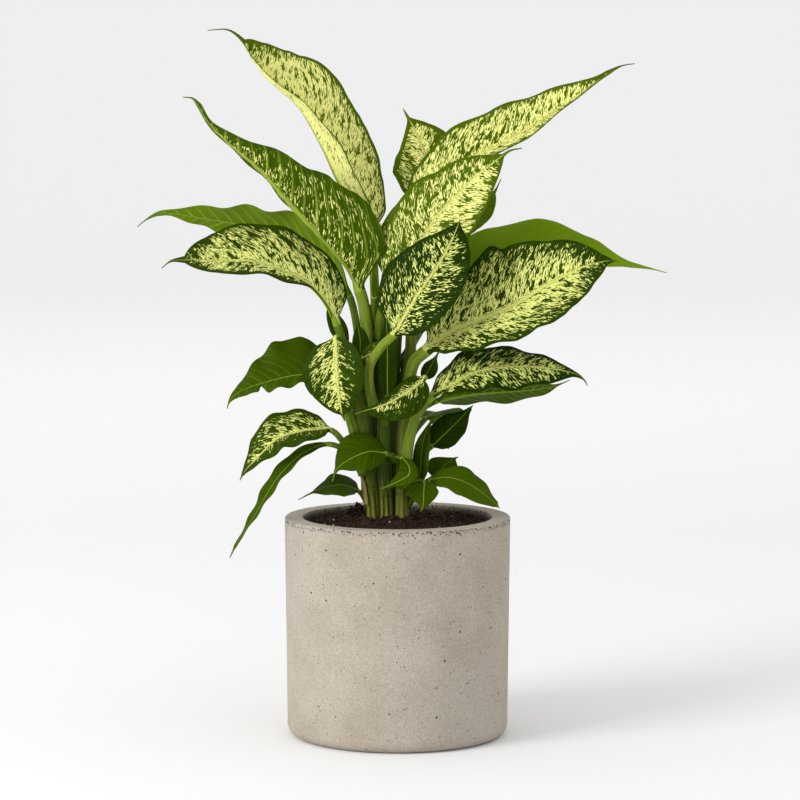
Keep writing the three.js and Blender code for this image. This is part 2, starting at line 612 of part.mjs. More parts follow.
// A cane: a round tube with a low ring where each old leaf grew
function caneGeometry({ route, radius }, extra) {
  const path = makeRoute(route);
  const rings = [];
  for (let i = 0; i <= CANE_STEPS; i += 1) {
    const share = i / CANE_STEPS;
    const length = share * path.total;
    const centre = path.at(length);
    const along = path.along(length);
    const side = new THREE.Vector3(1, 0, 0).cross(along).normalize();
    const front = along.clone().cross(side);
    const bulge = CANE_RING_BULGE * Math.cos((2 * Math.PI * length) / CANE_RING_SPACING);
    const width = THREE.MathUtils.lerp(radius[0], radius[1], share) + bulge + extra;
    const ring = [];
    for (let j = 0; j < CANE_SIDES; j += 1) {
      const angle = (2 * Math.PI * (j + 0.5)) / CANE_SIDES;
      const point = centre.clone();
      point.addScaledVector(side, width * Math.cos(angle));
      point.addScaledVector(front, width * Math.sin(angle));
      ring.push(point);
    }
    rings.push(ring);
  }
  return loft(rings);
}

// Share of the widest half-width at a place along the blade: a full foot, then a curve to the tip
function bladeShape(place, broad, taper) {
  if (place < broad) {
    return (1 - (1 - place / broad) ** INNER_CURVE) ** INNER_FULLNESS;
  }
  const outward = (place - broad) / (1 - broad);
  return (1 - outward ** OUTER_CURVE) ** taper;
}

// Eases from 0 to 1
function smooth(value) {
  const share = THREE.MathUtils.clamp(value, 0, 1);
  return share * share * (3 - 2 * share);
}

// Half-width of the drawn-out tip at a place along the leaf
function tipHalfWidth(leaf, place) {
  const tip = leaf.tip ?? TIP_HALF_WIDTHS[leaf.size];
  if (place < 1) {
    return tip * smooth((place - TIP_FROM) / (1 - TIP_FROM));
  }
  return tip * (2 - place) ** TIP_TAPER;
}

// Places along the leaf's route: the stalk, then the blade, then the drip tip
function leafStations(leaf, path) {
  const bladeFrom = path.lengthOfPoint(leaf.stalk.length);
  const bladeTo = path.lengthOfPoint(leaf.stalk.length + leaf.rib.length - 1);
  const stations = [];
  for (let i = 0; i < STALK_STATIONS; i += 1) {
    stations.push({ length: (bladeFrom * i) / STALK_STATIONS, place: -1 + i / STALK_STATIONS });
  }
  const bladeSteps = SIZE_STATIONS[leaf.size];
  for (let i = 0; i <= bladeSteps; i += 1) {
    const even = i / bladeSteps;
    const eased = (1 - Math.cos(Math.PI * even)) / 2;
    const place = (even + eased) / 2;
    stations.push({ length: bladeFrom + (bladeTo - bladeFrom) * place, place });
  }
  for (let i = 1; i <= DRIP_STATIONS; i += 1) {
    const share = i / DRIP_STATIONS;
    stations.push({ length: bladeTo + (path.total - bladeTo) * share, place: 1 + share });
  }
  return stations;
}

// One ring of the leaf: the round stalk, blending into the thin folded blade
function leafRing(leaf, path, station, extra) {
  const { length, place } = station;
  const centre = path.at(length);
  const along = path.along(length);
  const turned = smooth(place);
  const face = new THREE.Vector3(...leaf.face[0]).lerp(new THREE.Vector3(...leaf.face[1]), turned);
  const up = face.addScaledVector(along, -face.dot(along)).normalize();
  const right = along.clone().cross(up);
  const inBlade = THREE.MathUtils.clamp(place, 0, 1);
  const stemShare = THREE.MathUtils.clamp(place + 1, 0, 1);
  const stem = THREE.MathUtils.lerp(leaf.stem[0], leaf.stem[1], stemShare) + extra;
  const blend = smooth(place / STALK_BLEND);
  const keel = stem * KEEL_DEPTH * (1 - inBlade) ** KEEL_TAPER;
  const folded = THREE.MathUtils.lerp(leaf.fold[0], leaf.fold[1], turned);
  const least = THREE.MathUtils.lerp(FOOT_HALF_WIDTH, DRIP_HALF_WIDTH / 2, Math.max(place - 1, 0)) + extra;
  const tip = tipHalfWidth(leaf, place);
  const upper = [];
  const lower = [];
  for (let k = -ACROSS; k <= ACROSS; k += 1) {
    const share = k / ACROSS;
    const reach = Math.abs(share);
    const hand = share < 0 ? 0 : 1;
    const begins = leaf.begins ? leaf.begins[hand] : 0;
    const ownPlace = Math.max((inBlade - begins) / (1 - begins), 0);
    const shape = bladeShape(ownPlace, leaf.broad[hand], leaf.taper[hand]);
    const halfWidth = Math.max(Math.hypot(leaf.half[hand] * shape, tip) + extra, least);
    const fold = THREE.MathUtils.degToRad(folded + MARGIN_DROOP * reach);
    const ripple = Math.sin(2 * Math.PI * leaf.wave[1] * inBlade + hand * WAVE_PHASE);
    const wave = leaf.wave[0] * ripple * reach * reach * Math.sin(Math.PI * inBlade);
    const out = Math.sign(share) * reach * halfWidth;
    const side = out * Math.cos(fold);
    const rise = reach * halfWidth * Math.sin(fold) + wave;
    const half = BLADE_THICKNESS / 2 + extra;
    const lean = Math.sign(share) * Math.sin(fold) * half;
    const drop = half * Math.cos(fold);
    const keelDrop = k === 0 ? keel : 0;
    const angle = share * STALK_EDGE_ANGLE;
    const roundSide = stem * Math.sin(angle);
    const roundRise = stem * Math.cos(angle);
    upper.push(centre.clone()
      .addScaledVector(right, THREE.MathUtils.lerp(roundSide, side - lean, blend))
      .addScaledVector(up, THREE.MathUtils.lerp(roundRise, rise + drop, blend)));
    lower.push(centre.clone()
      .addScaledVector(right, THREE.MathUtils.lerp(roundSide, side + lean, blend))
      .addScaledVector(up, THREE.MathUtils.lerp(-roundRise, rise - drop - keelDrop, blend)));
  }
  lower.reverse();
  return upper.concat(lower);
}

// A whole leaf
function leafGeometry(leaf) {
  const path = makeRoute([...leaf.stalk, ...leaf.rib, ...leaf.drip]);
  const rings = leafStations(leaf, path).map((station) => leafRing(leaf, path, station, 0));
  return loft(rings);
}

// The stalk alone, grown by the clearance, which later leaves are cut back from
function stalkClearance(leaf) {
  const path = makeRoute([...leaf.stalk, ...leaf.rib, ...leaf.drip]);
  const stations = leafStations(leaf, path).filter((station) => station.place <= 0);
  return loft(stations.map((station) => leafRing(leaf, path, station, CLEARANCE)));
}

addMesh('pot', potGeometry(), concrete);

const caneRoom = Object.values(CANES).map((cane) => toSolid(caneGeometry(cane, CLEARANCE)));
let soil = toSolid(soilGeometry());
for (const room of caneRoom) {
  soil = soil.subtract(room);
}
addMesh('soil', toGeometry(largestPiece(soil)), peatSoil);

for (const [name, cane] of Object.entries(CANES)) {
  addMesh(name, caneGeometry(cane, 0), greenCane);
}

const stalkRoom = [];
for (const [name, leaf] of Object.entries(LEAVES)) {
  let solid = toSolid(leafGeometry(leaf));
  for (const room of [...caneRoom, ...stalkRoom]) {
    solid = solid.subtract(room);
  }
  addMesh(name, toGeometry(largestPiece(solid)), greenLeaf);
  stalkRoom.push(toSolid(stalkClearance(leaf)));
}

export default potted;
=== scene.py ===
# Potted dieffenbachia: variegated leaves on short canes, in a cast concrete cylinder of potting soil.
# Metres, +Z up, front towards -Y. The plant's and the pot's sizes are in millimetres, the studio's in metres.
import math
from functools import partial

import bpy
import numpy as np
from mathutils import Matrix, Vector, noise


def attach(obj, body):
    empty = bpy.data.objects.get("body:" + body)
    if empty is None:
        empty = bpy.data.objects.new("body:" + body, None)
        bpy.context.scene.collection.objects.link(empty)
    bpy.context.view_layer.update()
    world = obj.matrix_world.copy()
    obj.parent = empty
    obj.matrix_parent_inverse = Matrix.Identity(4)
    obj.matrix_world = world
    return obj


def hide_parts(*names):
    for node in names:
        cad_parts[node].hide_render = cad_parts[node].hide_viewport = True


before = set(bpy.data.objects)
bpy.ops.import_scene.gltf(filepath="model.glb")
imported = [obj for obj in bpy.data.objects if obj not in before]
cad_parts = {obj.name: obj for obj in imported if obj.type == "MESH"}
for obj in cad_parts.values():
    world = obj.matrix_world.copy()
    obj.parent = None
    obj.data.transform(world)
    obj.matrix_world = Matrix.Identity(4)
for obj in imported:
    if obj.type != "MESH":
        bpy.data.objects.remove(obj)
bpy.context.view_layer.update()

mm = 0.001


def hexColour(code):
    # sRGB hex to the linear colour that the shaders use
    shares = [int(code[i:i + 2], 16) / 255 for i in (1, 3, 5)]
    linear = [s / 12.92 if s <= 0.04045 else ((s + 0.055) / 1.055) ** 2.4 for s in shares]
    return (*linear, 1.0)


def addNode(tree, kind, inputs=(), **settings):
    # one shader node: its settings, then its inputs in order or by name. An input is a node, a socket, a hex colour
    # or a value
    made = tree.nodes.new("ShaderNode" + kind)
    for key, value in settings.items():
        setattr(made, key, value)
    for key, value in (inputs if isinstance(inputs, dict) else dict(enumerate(inputs))).items():
        if isinstance(value, bpy.types.Node):
            value = next(output for output in value.outputs if output.enabled)
        if isinstance(value, bpy.types.NodeSocket):
            tree.links.new(value, made.inputs[key])
        else:
            made.inputs[key].default_value = hexColour(value) if isinstance(value, str) else value
    return made


def newMaterial(name):
    made = bpy.data.materials.new(name)
    made.use_nodes = True
    made.node_tree.nodes.clear()
    return made, partial(addNode, made.node_tree)


def stretchedNoise(node, space, size, thirdScale, inputs):
    # noise drawn out to its size in mm along the first two axes
    mapped = node("Mapping", {"Vector": space, "Scale": (1 / size[0], 1 / size[1], thirdScale)})
    return node("TexNoise", {"Vector": mapped, "Scale": 1.0} | inputs)


def finishSurface(node, relief, strength, depth, inputs):
    # the relief, at most depth in mm, then the shader with its inputs and the output
    bump = node("Bump", {"Height": relief, "Strength": strength, "Distance": depth * mm})
    shader = node("BsdfPrincipled", inputs | {"Normal": bump})
    node("OutputMaterial", {"Surface": shader})


def meshObject(name, points, faces, materials, faceMaterials=None):
    mesh = bpy.data.meshes.new(name)
    mesh.from_pydata((np.asarray(points) * mm).tolist(), [], faces)
    for item in materials:
        mesh.materials.append(item)
    if faceMaterials is not None:
        mesh.polygons.foreach_set("material_index", np.asarray(faceMaterials, dtype=np.int32))
    mesh.polygons.foreach_set("use_smooth", np.full(len(mesh.polygons), True))
    mesh.validate()
    made = bpy.data.objects.new(name, mesh)
    bpy.context.scene.collection.objects.link(made)
    return made


def addAttribute(made, name, values):
    layer = made.data.attributes.new(name, "FLOAT_VECTOR", "POINT")
    layer.data.foreach_set("vector", np.asarray(values, dtype=np.float32).ravel())


def placeInFrame(made, nodeName, slotName):
    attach(made, "root")
    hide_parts(nodeName)


def circle(radius, height, sides):
    turns = [2 * math.pi * side / sides for side in range(sides)]
    return [(radius * math.cos(turn), radius * math.sin(turn), height) for turn in turns]


def ringFaces(rows, sides, start=0, flip=False):
    # quads between rings of points that follow each other
    faces = []
    for row in range(rows - 1):
        for side in range(sides):
            a, b = start + row * sides + side, start + row * sides + (side + 1) % sides
            faces.append((a, a + sides, b + sides, b) if flip else (a, b, b + sides, a + sides))
    return faces


def capFaces(middle, start, sides, flip=False):
    # a fan from a middle point to the ring that starts at a point
    pairs = [(start + side, start + (side + 1) % sides) for side in range(sides)]
    return [(middle, b, a) if flip else (middle, a, b) for a, b in pairs]


cameraSet = dict(place=(2.2, -2930, 596), tilt=84.2, lens=150, sensor=36)  # mm, and degrees up from straight down

cameraData = bpy.data.cameras.new("camera")
cameraData.lens = cameraSet["lens"]
cameraData.sensor_width = cameraSet["sensor"]
camera = bpy.data.objects.new("camera", cameraData)
camera.location = Vector(cameraSet["place"]) * mm
camera.rotation_euler = (math.radians(cameraSet["tilt"]), 0, 0)
bpy.context.scene.collection.objects.link(camera)
bpy.context.scene.camera = camera
print("camera placed")

# Each look below gives its patterns' sizes in mm, and as a range the part of a noise that is used.

# cast concrete: matt mineral skin, IOR 1.5, grey-beige, with sand grain, small air holes darkened with painted shade,
# and inside a damp stain deepened with painted shade.
# pits: mm between cells, radius of the largest hole, share of cells without one, and the heights that have them
concreteLook = dict(
    # pit: the air holes' dark colour is painted shade inside the holes
    light="#BBB0A2", dark="#AA9F90", grey="#A5A198", pit="#3A3229", stainAndShade="#39311F", roughness=0.86,
    mottle=55, mottleRange=(0.34, 0.66), patch=120, patchRange=(0.46, 0.72), patchAmount=0.5,
    grain=1.35, grainRange=(0.3, 0.7), grainShade=(0.76, 1.17), grainHeight=0.35, pitDepth=0.5, pitEdge=0.25,
    pits=(dict(spacing=6.8, size=1.15, empty=0.55), dict(spacing=3.06, size=0.713, empty=0.55),
          dict(spacing=1.7, size=1.15, empty=0.05, band=(191.2, 194))),
    # the inner wall's dark band is a damp stain deepened with painted shade; it comes in over these radii and heights
    stainAndShadeRadius=(84.3, 83.6), stainAndShadeHeight=(194.5, 190), stainAndShadeAmount=0.9,
)


def castConcrete(look):
    made, node = newMaterial("cast concrete")
    place = node("TexCoord").outputs["Object"]
    mottle = node("TexNoise", {"Vector": place, "Scale": 1000 / look["mottle"], "Detail": 5.0, "Roughness": 0.62})
    patch = node("TexNoise", {"Vector": place, "Scale": 1000 / look["patch"], "Detail": 2.0})
    # grain at 1.35 mm, one and a half picture elements: finer sand wouldn't show
    grain = node("TexNoise", {"Vector": place, "Scale": 1000 / look["grain"], "Detail": 2.0, "Roughness": 0.7})
    mottled = node("MapRange", [mottle, *look["mottleRange"]])
    patched = node("MapRange", [patch, *look["patchRange"], 0.0, look["patchAmount"]])
    base = node("Mix", {0: mottled, 6: look["dark"], 7: look["light"]}, data_type="RGBA")
    greyed = node("Mix", {0: patched, 6: base, 7: look["grey"]}, data_type="RGBA")
    shade = node("MapRange", [grain, *look["grainRange"], *look["grainShade"]])
    grained = node("VectorMath", {0: greyed, "Scale": shade}, operation="SCALE")
    height = node("SeparateXYZ", [place]).outputs["Z"]
    masks = []
    for pit in look["pits"]:
        cells = node("TexVoronoi", {"Vector": place, "Scale": 1000 / pit["spacing"]})
        chance = node("SeparateColor", [cells.outputs["Color"]])
        # only some cells hold a hole, and its size differs
        held = node("MapRange", [chance, pit["empty"], 1.0, 0.0, pit["size"] / pit["spacing"]])
        inside = node("Math", [held, cells], operation="SUBTRACT")
        mask = node("MapRange", [inside, 0.0, look["pitEdge"] / pit["spacing"]], interpolation_type="SMOOTHSTEP")
        if "band" in pit:
            lowest, highest = pit["band"]
            above = node("MapRange", [height, (lowest - 1) * mm, lowest * mm])
            below = node("MapRange", [height, highest * mm, (highest + 1) * mm, 1.0, 0.0])
            inBand = node("Math", [above, below], operation="MULTIPLY")
            mask = node("Math", [mask, inBand], operation="MULTIPLY")
        masks.append(mask)
    pits = masks[0]
    for mask in masks[1:]:
        pits = node("Math", [pits, mask], operation="MAXIMUM")
    # painted shade: the air holes are coloured dark
    pitted = node("Mix", {0: pits, 6: grained, 7: look["pit"]}, data_type="RGBA")
    # the inner wall above the soil darkens downwards: a damp stain deepened with painted shade from the rim and the
    # plant
    level = node("VectorMath", [place, (1, 1, 0)], operation="MULTIPLY")
    radius = node("VectorMath", [level], operation="LENGTH")
    clearFrom, darkFrom = look["stainAndShadeRadius"]
    inner = node("MapRange", [radius, clearFrom * mm, darkFrom * mm, 0.0, look["stainAndShadeAmount"]])
    deep = node("MapRange", [height, look["stainAndShadeHeight"][0] * mm, look["stainAndShadeHeight"][1] * mm])
    stainAndShadeMask = node("Math", [inner, deep], operation="MULTIPLY")
    colour = node("Mix", {0: stainAndShadeMask, 6: pitted, 7: look["stainAndShade"]}, data_type="RGBA")
    fine = node("Math", [grain, look["grainHeight"]], operation="MULTIPLY")
    relief = node("Math", [fine, pits], operation="SUBTRACT")
    finishSurface(node, relief, 0.55, look["pitDepth"],
                  {"Base Color": colour, "Roughness": look["roughness"], "IOR": 1.5, "Specular IOR Level": 0.3})
    return made


# peat potting soil: damp, crumbly, no shine, dark brown with reddish bits of bark
soilLook = dict(dark="#1A110A", brown="#36241A", bark="#5C3B28", roughness=0.95, lump=7, lumpRange=(0.35, 0.65),
                grain=1.8, barkRange=(0.55, 0.72), crumbHeight=1.2)


def peatSoil(look):
    made, node = newMaterial("peat soil")
    place = node("TexCoord").outputs["Object"]
    lump = node("TexNoise", {"Vector": place, "Scale": 1000 / look["lump"], "Detail": 4.0})
    grain = node("TexNoise", {"Vector": place, "Scale": 1000 / look["grain"], "Detail": 2.0})
    clod = node("MapRange", [lump, *look["lumpRange"]])
    chip = node("MapRange", [grain, *look["barkRange"]])
    base = node("Mix", {0: clod, 6: look["dark"], 7: look["brown"]}, data_type="RGBA")
    colour = node("Mix", {0: chip, 6: base, 7: look["bark"]}, data_type="RGBA")
    relief = node("Math", [lump, grain], operation="ADD")
    finishSurface(node, relief, 0.9, look["crumbHeight"],
                  {"Base Color": colour, "Roughness": look["roughness"], "Specular IOR Level": 0.2})
    return made


# expanded perlite: chalky white grains, dusty with soil
perliteLook = dict(dusty="#8E7F6C", white="#D9D3C6", roughness=0.9, grain=1.8)


def perliteGrains(look):
    made, node = newMaterial("perlite")
    place = node("TexCoord").outputs["Object"]
    speck = node("TexNoise", {"Vector": place, "Scale": 1000 / look["grain"], "Detail": 2.0})
    colour = node("Mix", {0: speck, 6: look["dusty"], 7: look["white"]}, data_type="RGBA")
    shader = node("BsdfPrincipled", {"Base Color": colour, "Roughness": look["roughness"]})
    node("OutputMaterial", {"Surface": shader})
    return made


# leaf: waxy living skin, IOR 1.45, soft gloss above, duller below, green with cream flecks along the side veins.
# fleck, blotch, fine: mm across and along the side veins. veinHalf: half-width of a vein line, as a share of the
# veins' spacing. fleck and blotch add up to a level, and cream shows where the level is over creamRange
leafSkin = dict(
    blotch=(4.5, 8.5), fine=(1.6, 30), islandRange=(0.33, 0.47), islandDepth=-0.2, blotchLift=0.25,
    creamRange=(0.494, 0.502), midRange=(0.47, 0.493), ageSpread=0.3, youngCream=(1.5, -0.2),
    veinBreaks=(0.35, 0.6), veinLeast=0.25, ribRange=(0.7, 1.15), plainRange=(-0.4, -0.25),
    glossRange=(0.3, 0.7), fineHeight=0.3, height=0.6,
)
leafLook = {
    "upper": leafSkin | dict(
        dark="#162B00", light="#6C8A02", mid="#507200", cream="#F4F292", creamDull="#BECC68",
        rib="#CBCD6C", ribGreen="#7C962E", vein="#86A23A", veinShow=0.3, veinHalf=0.0525, veinHeight=0.25,
        fleck=(0.95, 3.1), roughness=(0.43, 0.56),
    ),
    # the under side is paler green, as a leaf's under side is, and its cream is brighter than the upper side's:
    # painted light on under sides that face away from the key
    "under": leafSkin | dict(
        dark="#243E00", light="#6E8C06", mid="#55760A", cream="#FFFC9C", creamDull="#DCE072",
        rib="#93A63E", ribGreen="#7F9A34", vein="#A6B640", veinShow=0.55, veinHalf=0.15, veinHeight=-0.35,
        fleck=(1.05, 3.4), roughness=(0.49, 0.62),
    ),
}


def livingLeaf(side, look):
    # attributes: veinSpace is mm across and along the side veins, leafMap is place across the midrib, count of side
    # veins and how cream it is, leafTone is how young it is and how pale the vein lines are
    made, node = newMaterial("leaf " + side)
    space = node("Attribute", attribute_name="veinSpace").outputs["Vector"]
    leafMap = node("Attribute", attribute_name="leafMap").outputs["Vector"]
    acrossRib, veinCount, creamBias = node("SeparateXYZ", [leafMap]).outputs
    leafTone = node("Attribute", attribute_name="leafTone").outputs["Vector"]
    young, paleVein, _ = node("SeparateXYZ", [leafTone]).outputs
    # flecks about 1 mm wide and 3 mm long run along the side veins
    fleck = stretchedNoise(node, space, look["fleck"], 1, {"Detail": 1.0, "Roughness": 0.45, "Distortion": 0.4})
    blotch = stretchedNoise(node, space, look["blotch"], 3, {"Detail": 1.5})
    fine = stretchedNoise(node, space, look["fine"], 1, {"Detail": 2.0})

    # solid green islands among the flecks
    island = node("MapRange", [blotch, *look["islandRange"], look["islandDepth"], 0.0])
    patchy = node("Math", [blotch, look["blotchLift"], -look["blotchLift"] / 2], operation="MULTIPLY_ADD")
    level = fleck
    for change in (patchy, island, creamBias):
        level = node("Math", [level, change], operation="ADD")
    creamHere = node("MapRange", [level, *look["creamRange"]], interpolation_type="SMOOTHSTEP")
    midHere = node("MapRange", [level, *look["midRange"]], interpolation_type="SMOOTHSTEP")
    age = node("Math", [fine, look["ageSpread"], young], operation="MULTIPLY_ADD")
    age = node("Math", [age, look["ageSpread"] / 2], operation="SUBTRACT", use_clamp=True)
    green = node("Mix", {0: age, 6: look["dark"], 7: look["light"]}, data_type="RGBA")
    halfTone = node("Mix", {0: midHere, 6: green, 7: look["mid"]}, data_type="RGBA")
    # young leaves have a brighter cream
    bright = node("Math", [young, *look["youngCream"]], operation="MULTIPLY_ADD")
    bright = node("Math", [bright, blotch], operation="ADD", use_clamp=True)
    cream = node("Mix", {0: bright, 6: look["creamDull"], 7: look["cream"]}, data_type="RGBA")
    marked = node("Mix", {0: creamHere, 6: halfTone, 7: cream}, data_type="RGBA")

    toVein = node("Math", [veinCount, 0.5], operation="PINGPONG")
    line = node("MapRange", [toVein, 0.0, look["veinHalf"], 1.0, 0.0], interpolation_type="SMOOTHSTEP")
    broken = node("MapRange", [fine, *look["veinBreaks"], look["veinLeast"]])
    shown = line
    for share in (paleVein, broken, look["veinShow"]):
        shown = node("Math", [shown, share], operation="MULTIPLY")
    veined = node("Mix", {0: shown, 6: marked, 7: look["vein"]}, data_type="RGBA")

    fromRib = node("Math", [acrossRib], operation="ABSOLUTE")
    onRib = node("MapRange", [fromRib, *look["ribRange"], 1.0, 0.0], interpolation_type="SMOOTHSTEP")
    # plain green leaves have a greener midrib
    paleRib = node("MapRange", [creamBias, *look["plainRange"]])
    ribColour = node("Mix", {0: paleRib, 6: look["ribGreen"], 7: look["rib"]}, data_type="RGBA")
    colour = node("Mix", {0: onRib, 6: veined, 7: ribColour}, data_type="RGBA")

    gloss = node("MapRange", [fine, *look["glossRange"], *look["roughness"]])
    ridge = node("Math", [line, -look["veinHeight"]], operation="MULTIPLY")
    relief = node("Math", [fine, look["fineHeight"], ridge], operation="MULTIPLY_ADD")
    finishSurface(node, relief, 0.35, look["height"],
                  {"Base Color": colour, "Roughness": gloss, "IOR": 1.45, "Specular IOR Level": 0.04})
    return made


# leaf stalk: smooth, juicy, IOR 1.45, finely streaked lengthwise and spotted. fibre, spot: mm along and round
stalkLook = dict(pale="#93A03A", green="#6E8A1E", deep="#2E4806", fleck="#3F5E08", roughness=0.42, fibre=(26, 1.4),
                 fibreRange=(0.32, 0.68), spot=(7, 2.2), spotRange=(0.56, 0.66), spotAmount=0.45, fibreHeight=0.4)


def leafStalk(look):
    # veinSpace: mm along the stalk and round it. leafTone: Y is how pale it is and Z how much painted shade darkens
    # its foot
    made, node = newMaterial("leaf stalk")
    space = node("Attribute", attribute_name="veinSpace").outputs["Vector"]
    leafTone = node("Attribute", attribute_name="leafTone").outputs["Vector"]
    _, paleness, footShade = node("SeparateXYZ", [leafTone]).outputs
    fibre = stretchedNoise(node, space, look["fibre"], 1, {"Detail": 3.0})
    spot = stretchedNoise(node, space, look["spot"], 1, {"Detail": 2.0})
    drawn = node("MapRange", [fibre, *look["fibreRange"]])
    young = node("Mix", {0: drawn, 6: look["green"], 7: look["pale"]}, data_type="RGBA")
    base = node("Mix", {0: paleness, 6: look["deep"], 7: young}, data_type="RGBA")
    flecked = node("MapRange", [spot, *look["spotRange"], 0.0, look["spotAmount"]])
    spotted = node("Mix", {0: flecked, 6: base, 7: look["fleck"]}, data_type="RGBA")
    # painted shade: the stalk's foot, among the crowded stalks at the cane, is darkened towards the spot colour
    colour = node("Mix", {0: footShade, 6: spotted, 7: look["fleck"]}, data_type="RGBA")
    finishSurface(node, fibre, 0.3, look["fibreHeight"],
                  {"Base Color": colour, "Roughness": look["roughness"], "IOR": 1.45, "Specular IOR Level": 0.12})
    return made


# cane: green bark, IOR 1.45, with lengthwise streaks, browner at the foot and in the leaf scars.
# fibre: mm round and up. footHeight: mm above the floor between which the brown foot fades out
caneLook = dict(green="#2C4206", pale="#747C2A", scar="#33400E", foot="#8A8238", roughness=0.5, fibre=(2.2, 30),
                fibreRange=(0.34, 0.66), fadeSpread=0.35, fadeDrop=0.17, footHeight=(194, 238), footRange=(0.44, 0.56),
                fibreHeight=0.5)


def greenCane(look):
    # caneMap: mm round, mm along, closeness to a leaf scar. caneTone: how pale
    made, node = newMaterial("cane bark")
    place = node("Attribute", attribute_name="caneMap").outputs["Vector"]
    scarred = node("SeparateXYZ", [place]).outputs["Z"]
    height = node("SeparateXYZ", [node("TexCoord").outputs["Object"]]).outputs["Z"]
    fibre = stretchedNoise(node, place, look["fibre"], 0, {"Detail": 4.0})
    drawn = node("MapRange", [fibre, *look["fibreRange"]])
    paleness = node("SeparateXYZ", [node("Attribute", attribute_name="caneTone").outputs["Vector"]])
    faded = node("Math", [drawn, look["fadeSpread"], paleness], operation="MULTIPLY_ADD")
    faded = node("Math", [faded, look["fadeDrop"]], operation="SUBTRACT", use_clamp=True)
    base = node("Mix", {0: faded, 6: look["green"], 7: look["pale"]}, data_type="RGBA")
    low = node("MapRange", [height, look["footHeight"][0] * mm, look["footHeight"][1] * mm, 1.0, 0.0])
    streaked = node("MapRange", [fibre, *look["footRange"]])
    worn = node("Math", [low, streaked], operation="MULTIPLY")
    footed = node("Mix", {0: worn, 6: base, 7: look["foot"]}, data_type="RGBA")
    colour = node("Mix", {0: scarred, 6: footed, 7: look["scar"]}, data_type="RGBA")
    finishSurface(node, fibre, 0.4, look["fibreHeight"],
                  {"Base Color": colour, "Roughness": look["roughness"], "IOR": 1.45, "Specular IOR Level": 0.1})
    return made


# dried leaf base: thin brown paper with lengthwise fibres. fibre: mm round and up
sheathLook = dict(pale="#93803C", dark="#5E4D1E", roughness=0.75, fibre=(1.3, 22), fibreRange=(0.36, 0.64),
                  fibreHeight=0.4)


def paperySheath(look):
    made, node = newMaterial("papery sheath")
    place = node("Attribute", attribute_name="caneMap").outputs["Vector"]
    fibre = stretchedNoise(node, place, look["fibre"], 0, {"Detail": 4.0})
    drawn = node("MapRange", [fibre, *look["fibreRange"]])
    colour = node("Mix", {0: drawn, 6: look["dark"], 7: look["pale"]}, data_type="RGBA")
    finishSurface(node, fibre, 0.5, look["fibreHeight"], {"Base Color": colour, "Roughness": look["roughness"]})
    return made


concrete = castConcrete(concreteLook)
soilFinish = peatSoil(soilLook)
perliteFinish = perliteGrains(perliteLook)
leafUpper = livingLeaf("upper", leafLook["upper"])
leafUnder = livingLeaf("under", leafLook["under"])
stalkFinish = leafStalk(stalkLook)
caneFinish = greenCane(caneLook)
sheathFinish = paperySheath(sheathLook)
print("materials made")

potShape = dict(
    height=195, rim=100, foot=98, wall=16.5, floor=20, footRound=11, edgeRound=1.5, sides=288,
    chip=0.5, chipReach=3.2, chipSizes=(2.6, 7), uneven=0.12, unevenSize=30,
)


def potPiece(shape):
    # the half outline, from the middle of the underside round to the middle of the floor, in steps
    profile = []

    def corner(x, z, radius, start, end, steps):
        for i in range(steps + 1):
            angle = math.radians(start + (end - start) * i / steps)
            profile.append((x + radius * math.cos(angle), z + radius * math.sin(angle)))

    def straight(x, z, steps):
        fromX, fromZ = profile[-1]
        for i in range(1, steps + 1):
            profile.append((fromX + (x - fromX) * i / steps, fromZ + (z - fromZ) * i / steps))

    edge, footRound, sides = shape["edgeRound"], shape["footRound"], shape["sides"]
    edgeHeight = shape["height"] - edge
    innerRim = shape["rim"] - shape["wall"]
    middle = shape["foot"] * 0.3  # radius of the flat disc in the middle of the underside and of the floor
    profile.append((middle, 0.0))
    straight(shape["foot"] - footRound, 0.0, 4)
    corner(shape["foot"] - footRound, footRound, footRound, -90, 0, 10)
    straight(shape["rim"], edgeHeight, 40)
    corner(shape["rim"] - edge, edgeHeight, edge, 0, 90, 6)
    straight(innerRim + edge, shape["height"], 6)
    corner(innerRim + edge, edgeHeight, edge, 90, 180, 6)
    straight(shape["foot"] - shape["wall"], shape["floor"], 24)
    straight(middle, shape["floor"], 4)
    points = []
    for x, z in profile:
        for side in range(sides):
            angle = 2 * math.pi * side / sides
            # the cast edge has small chips and the wall is slightly uneven, always inwards
            spot = Vector((x * math.cos(angle), x * math.sin(angle), z))
            onEdge = max(0.0, 1 - math.hypot(x - shape["rim"], z - edgeHeight - 1) / shape["chipReach"])
            small, wide = (noise.noise(spot / size) for size in shape["chipSizes"])
            chip = shape["chip"] * onEdge * max(0.0, small * 2.2 + wide)
            onWall = x > shape["rim"] - 6 and z > footRound
            uneven = shape["uneven"] * (1 + noise.noise(spot / shape["unevenSize"])) if onWall else 0.0
            radius = x - chip - uneven
            points.append((radius * math.cos(angle), radius * math.sin(angle), z - chip * 0.4))
    rows = len(profile)
    faces = ringFaces(rows, sides)
    points += [(0, 0, 0), (0, 0, shape["floor"])]
    faces += capFaces(rows * sides, 0, sides, flip=True) + capFaces(rows * sides + 1, (rows - 1) * sides, sides)
    made = meshObject("concrete_pot", points, faces, [concrete])
    placeInFrame(made, "pot", "cast_concrete")
    return made


potPiece(potShape)
print("pot made")

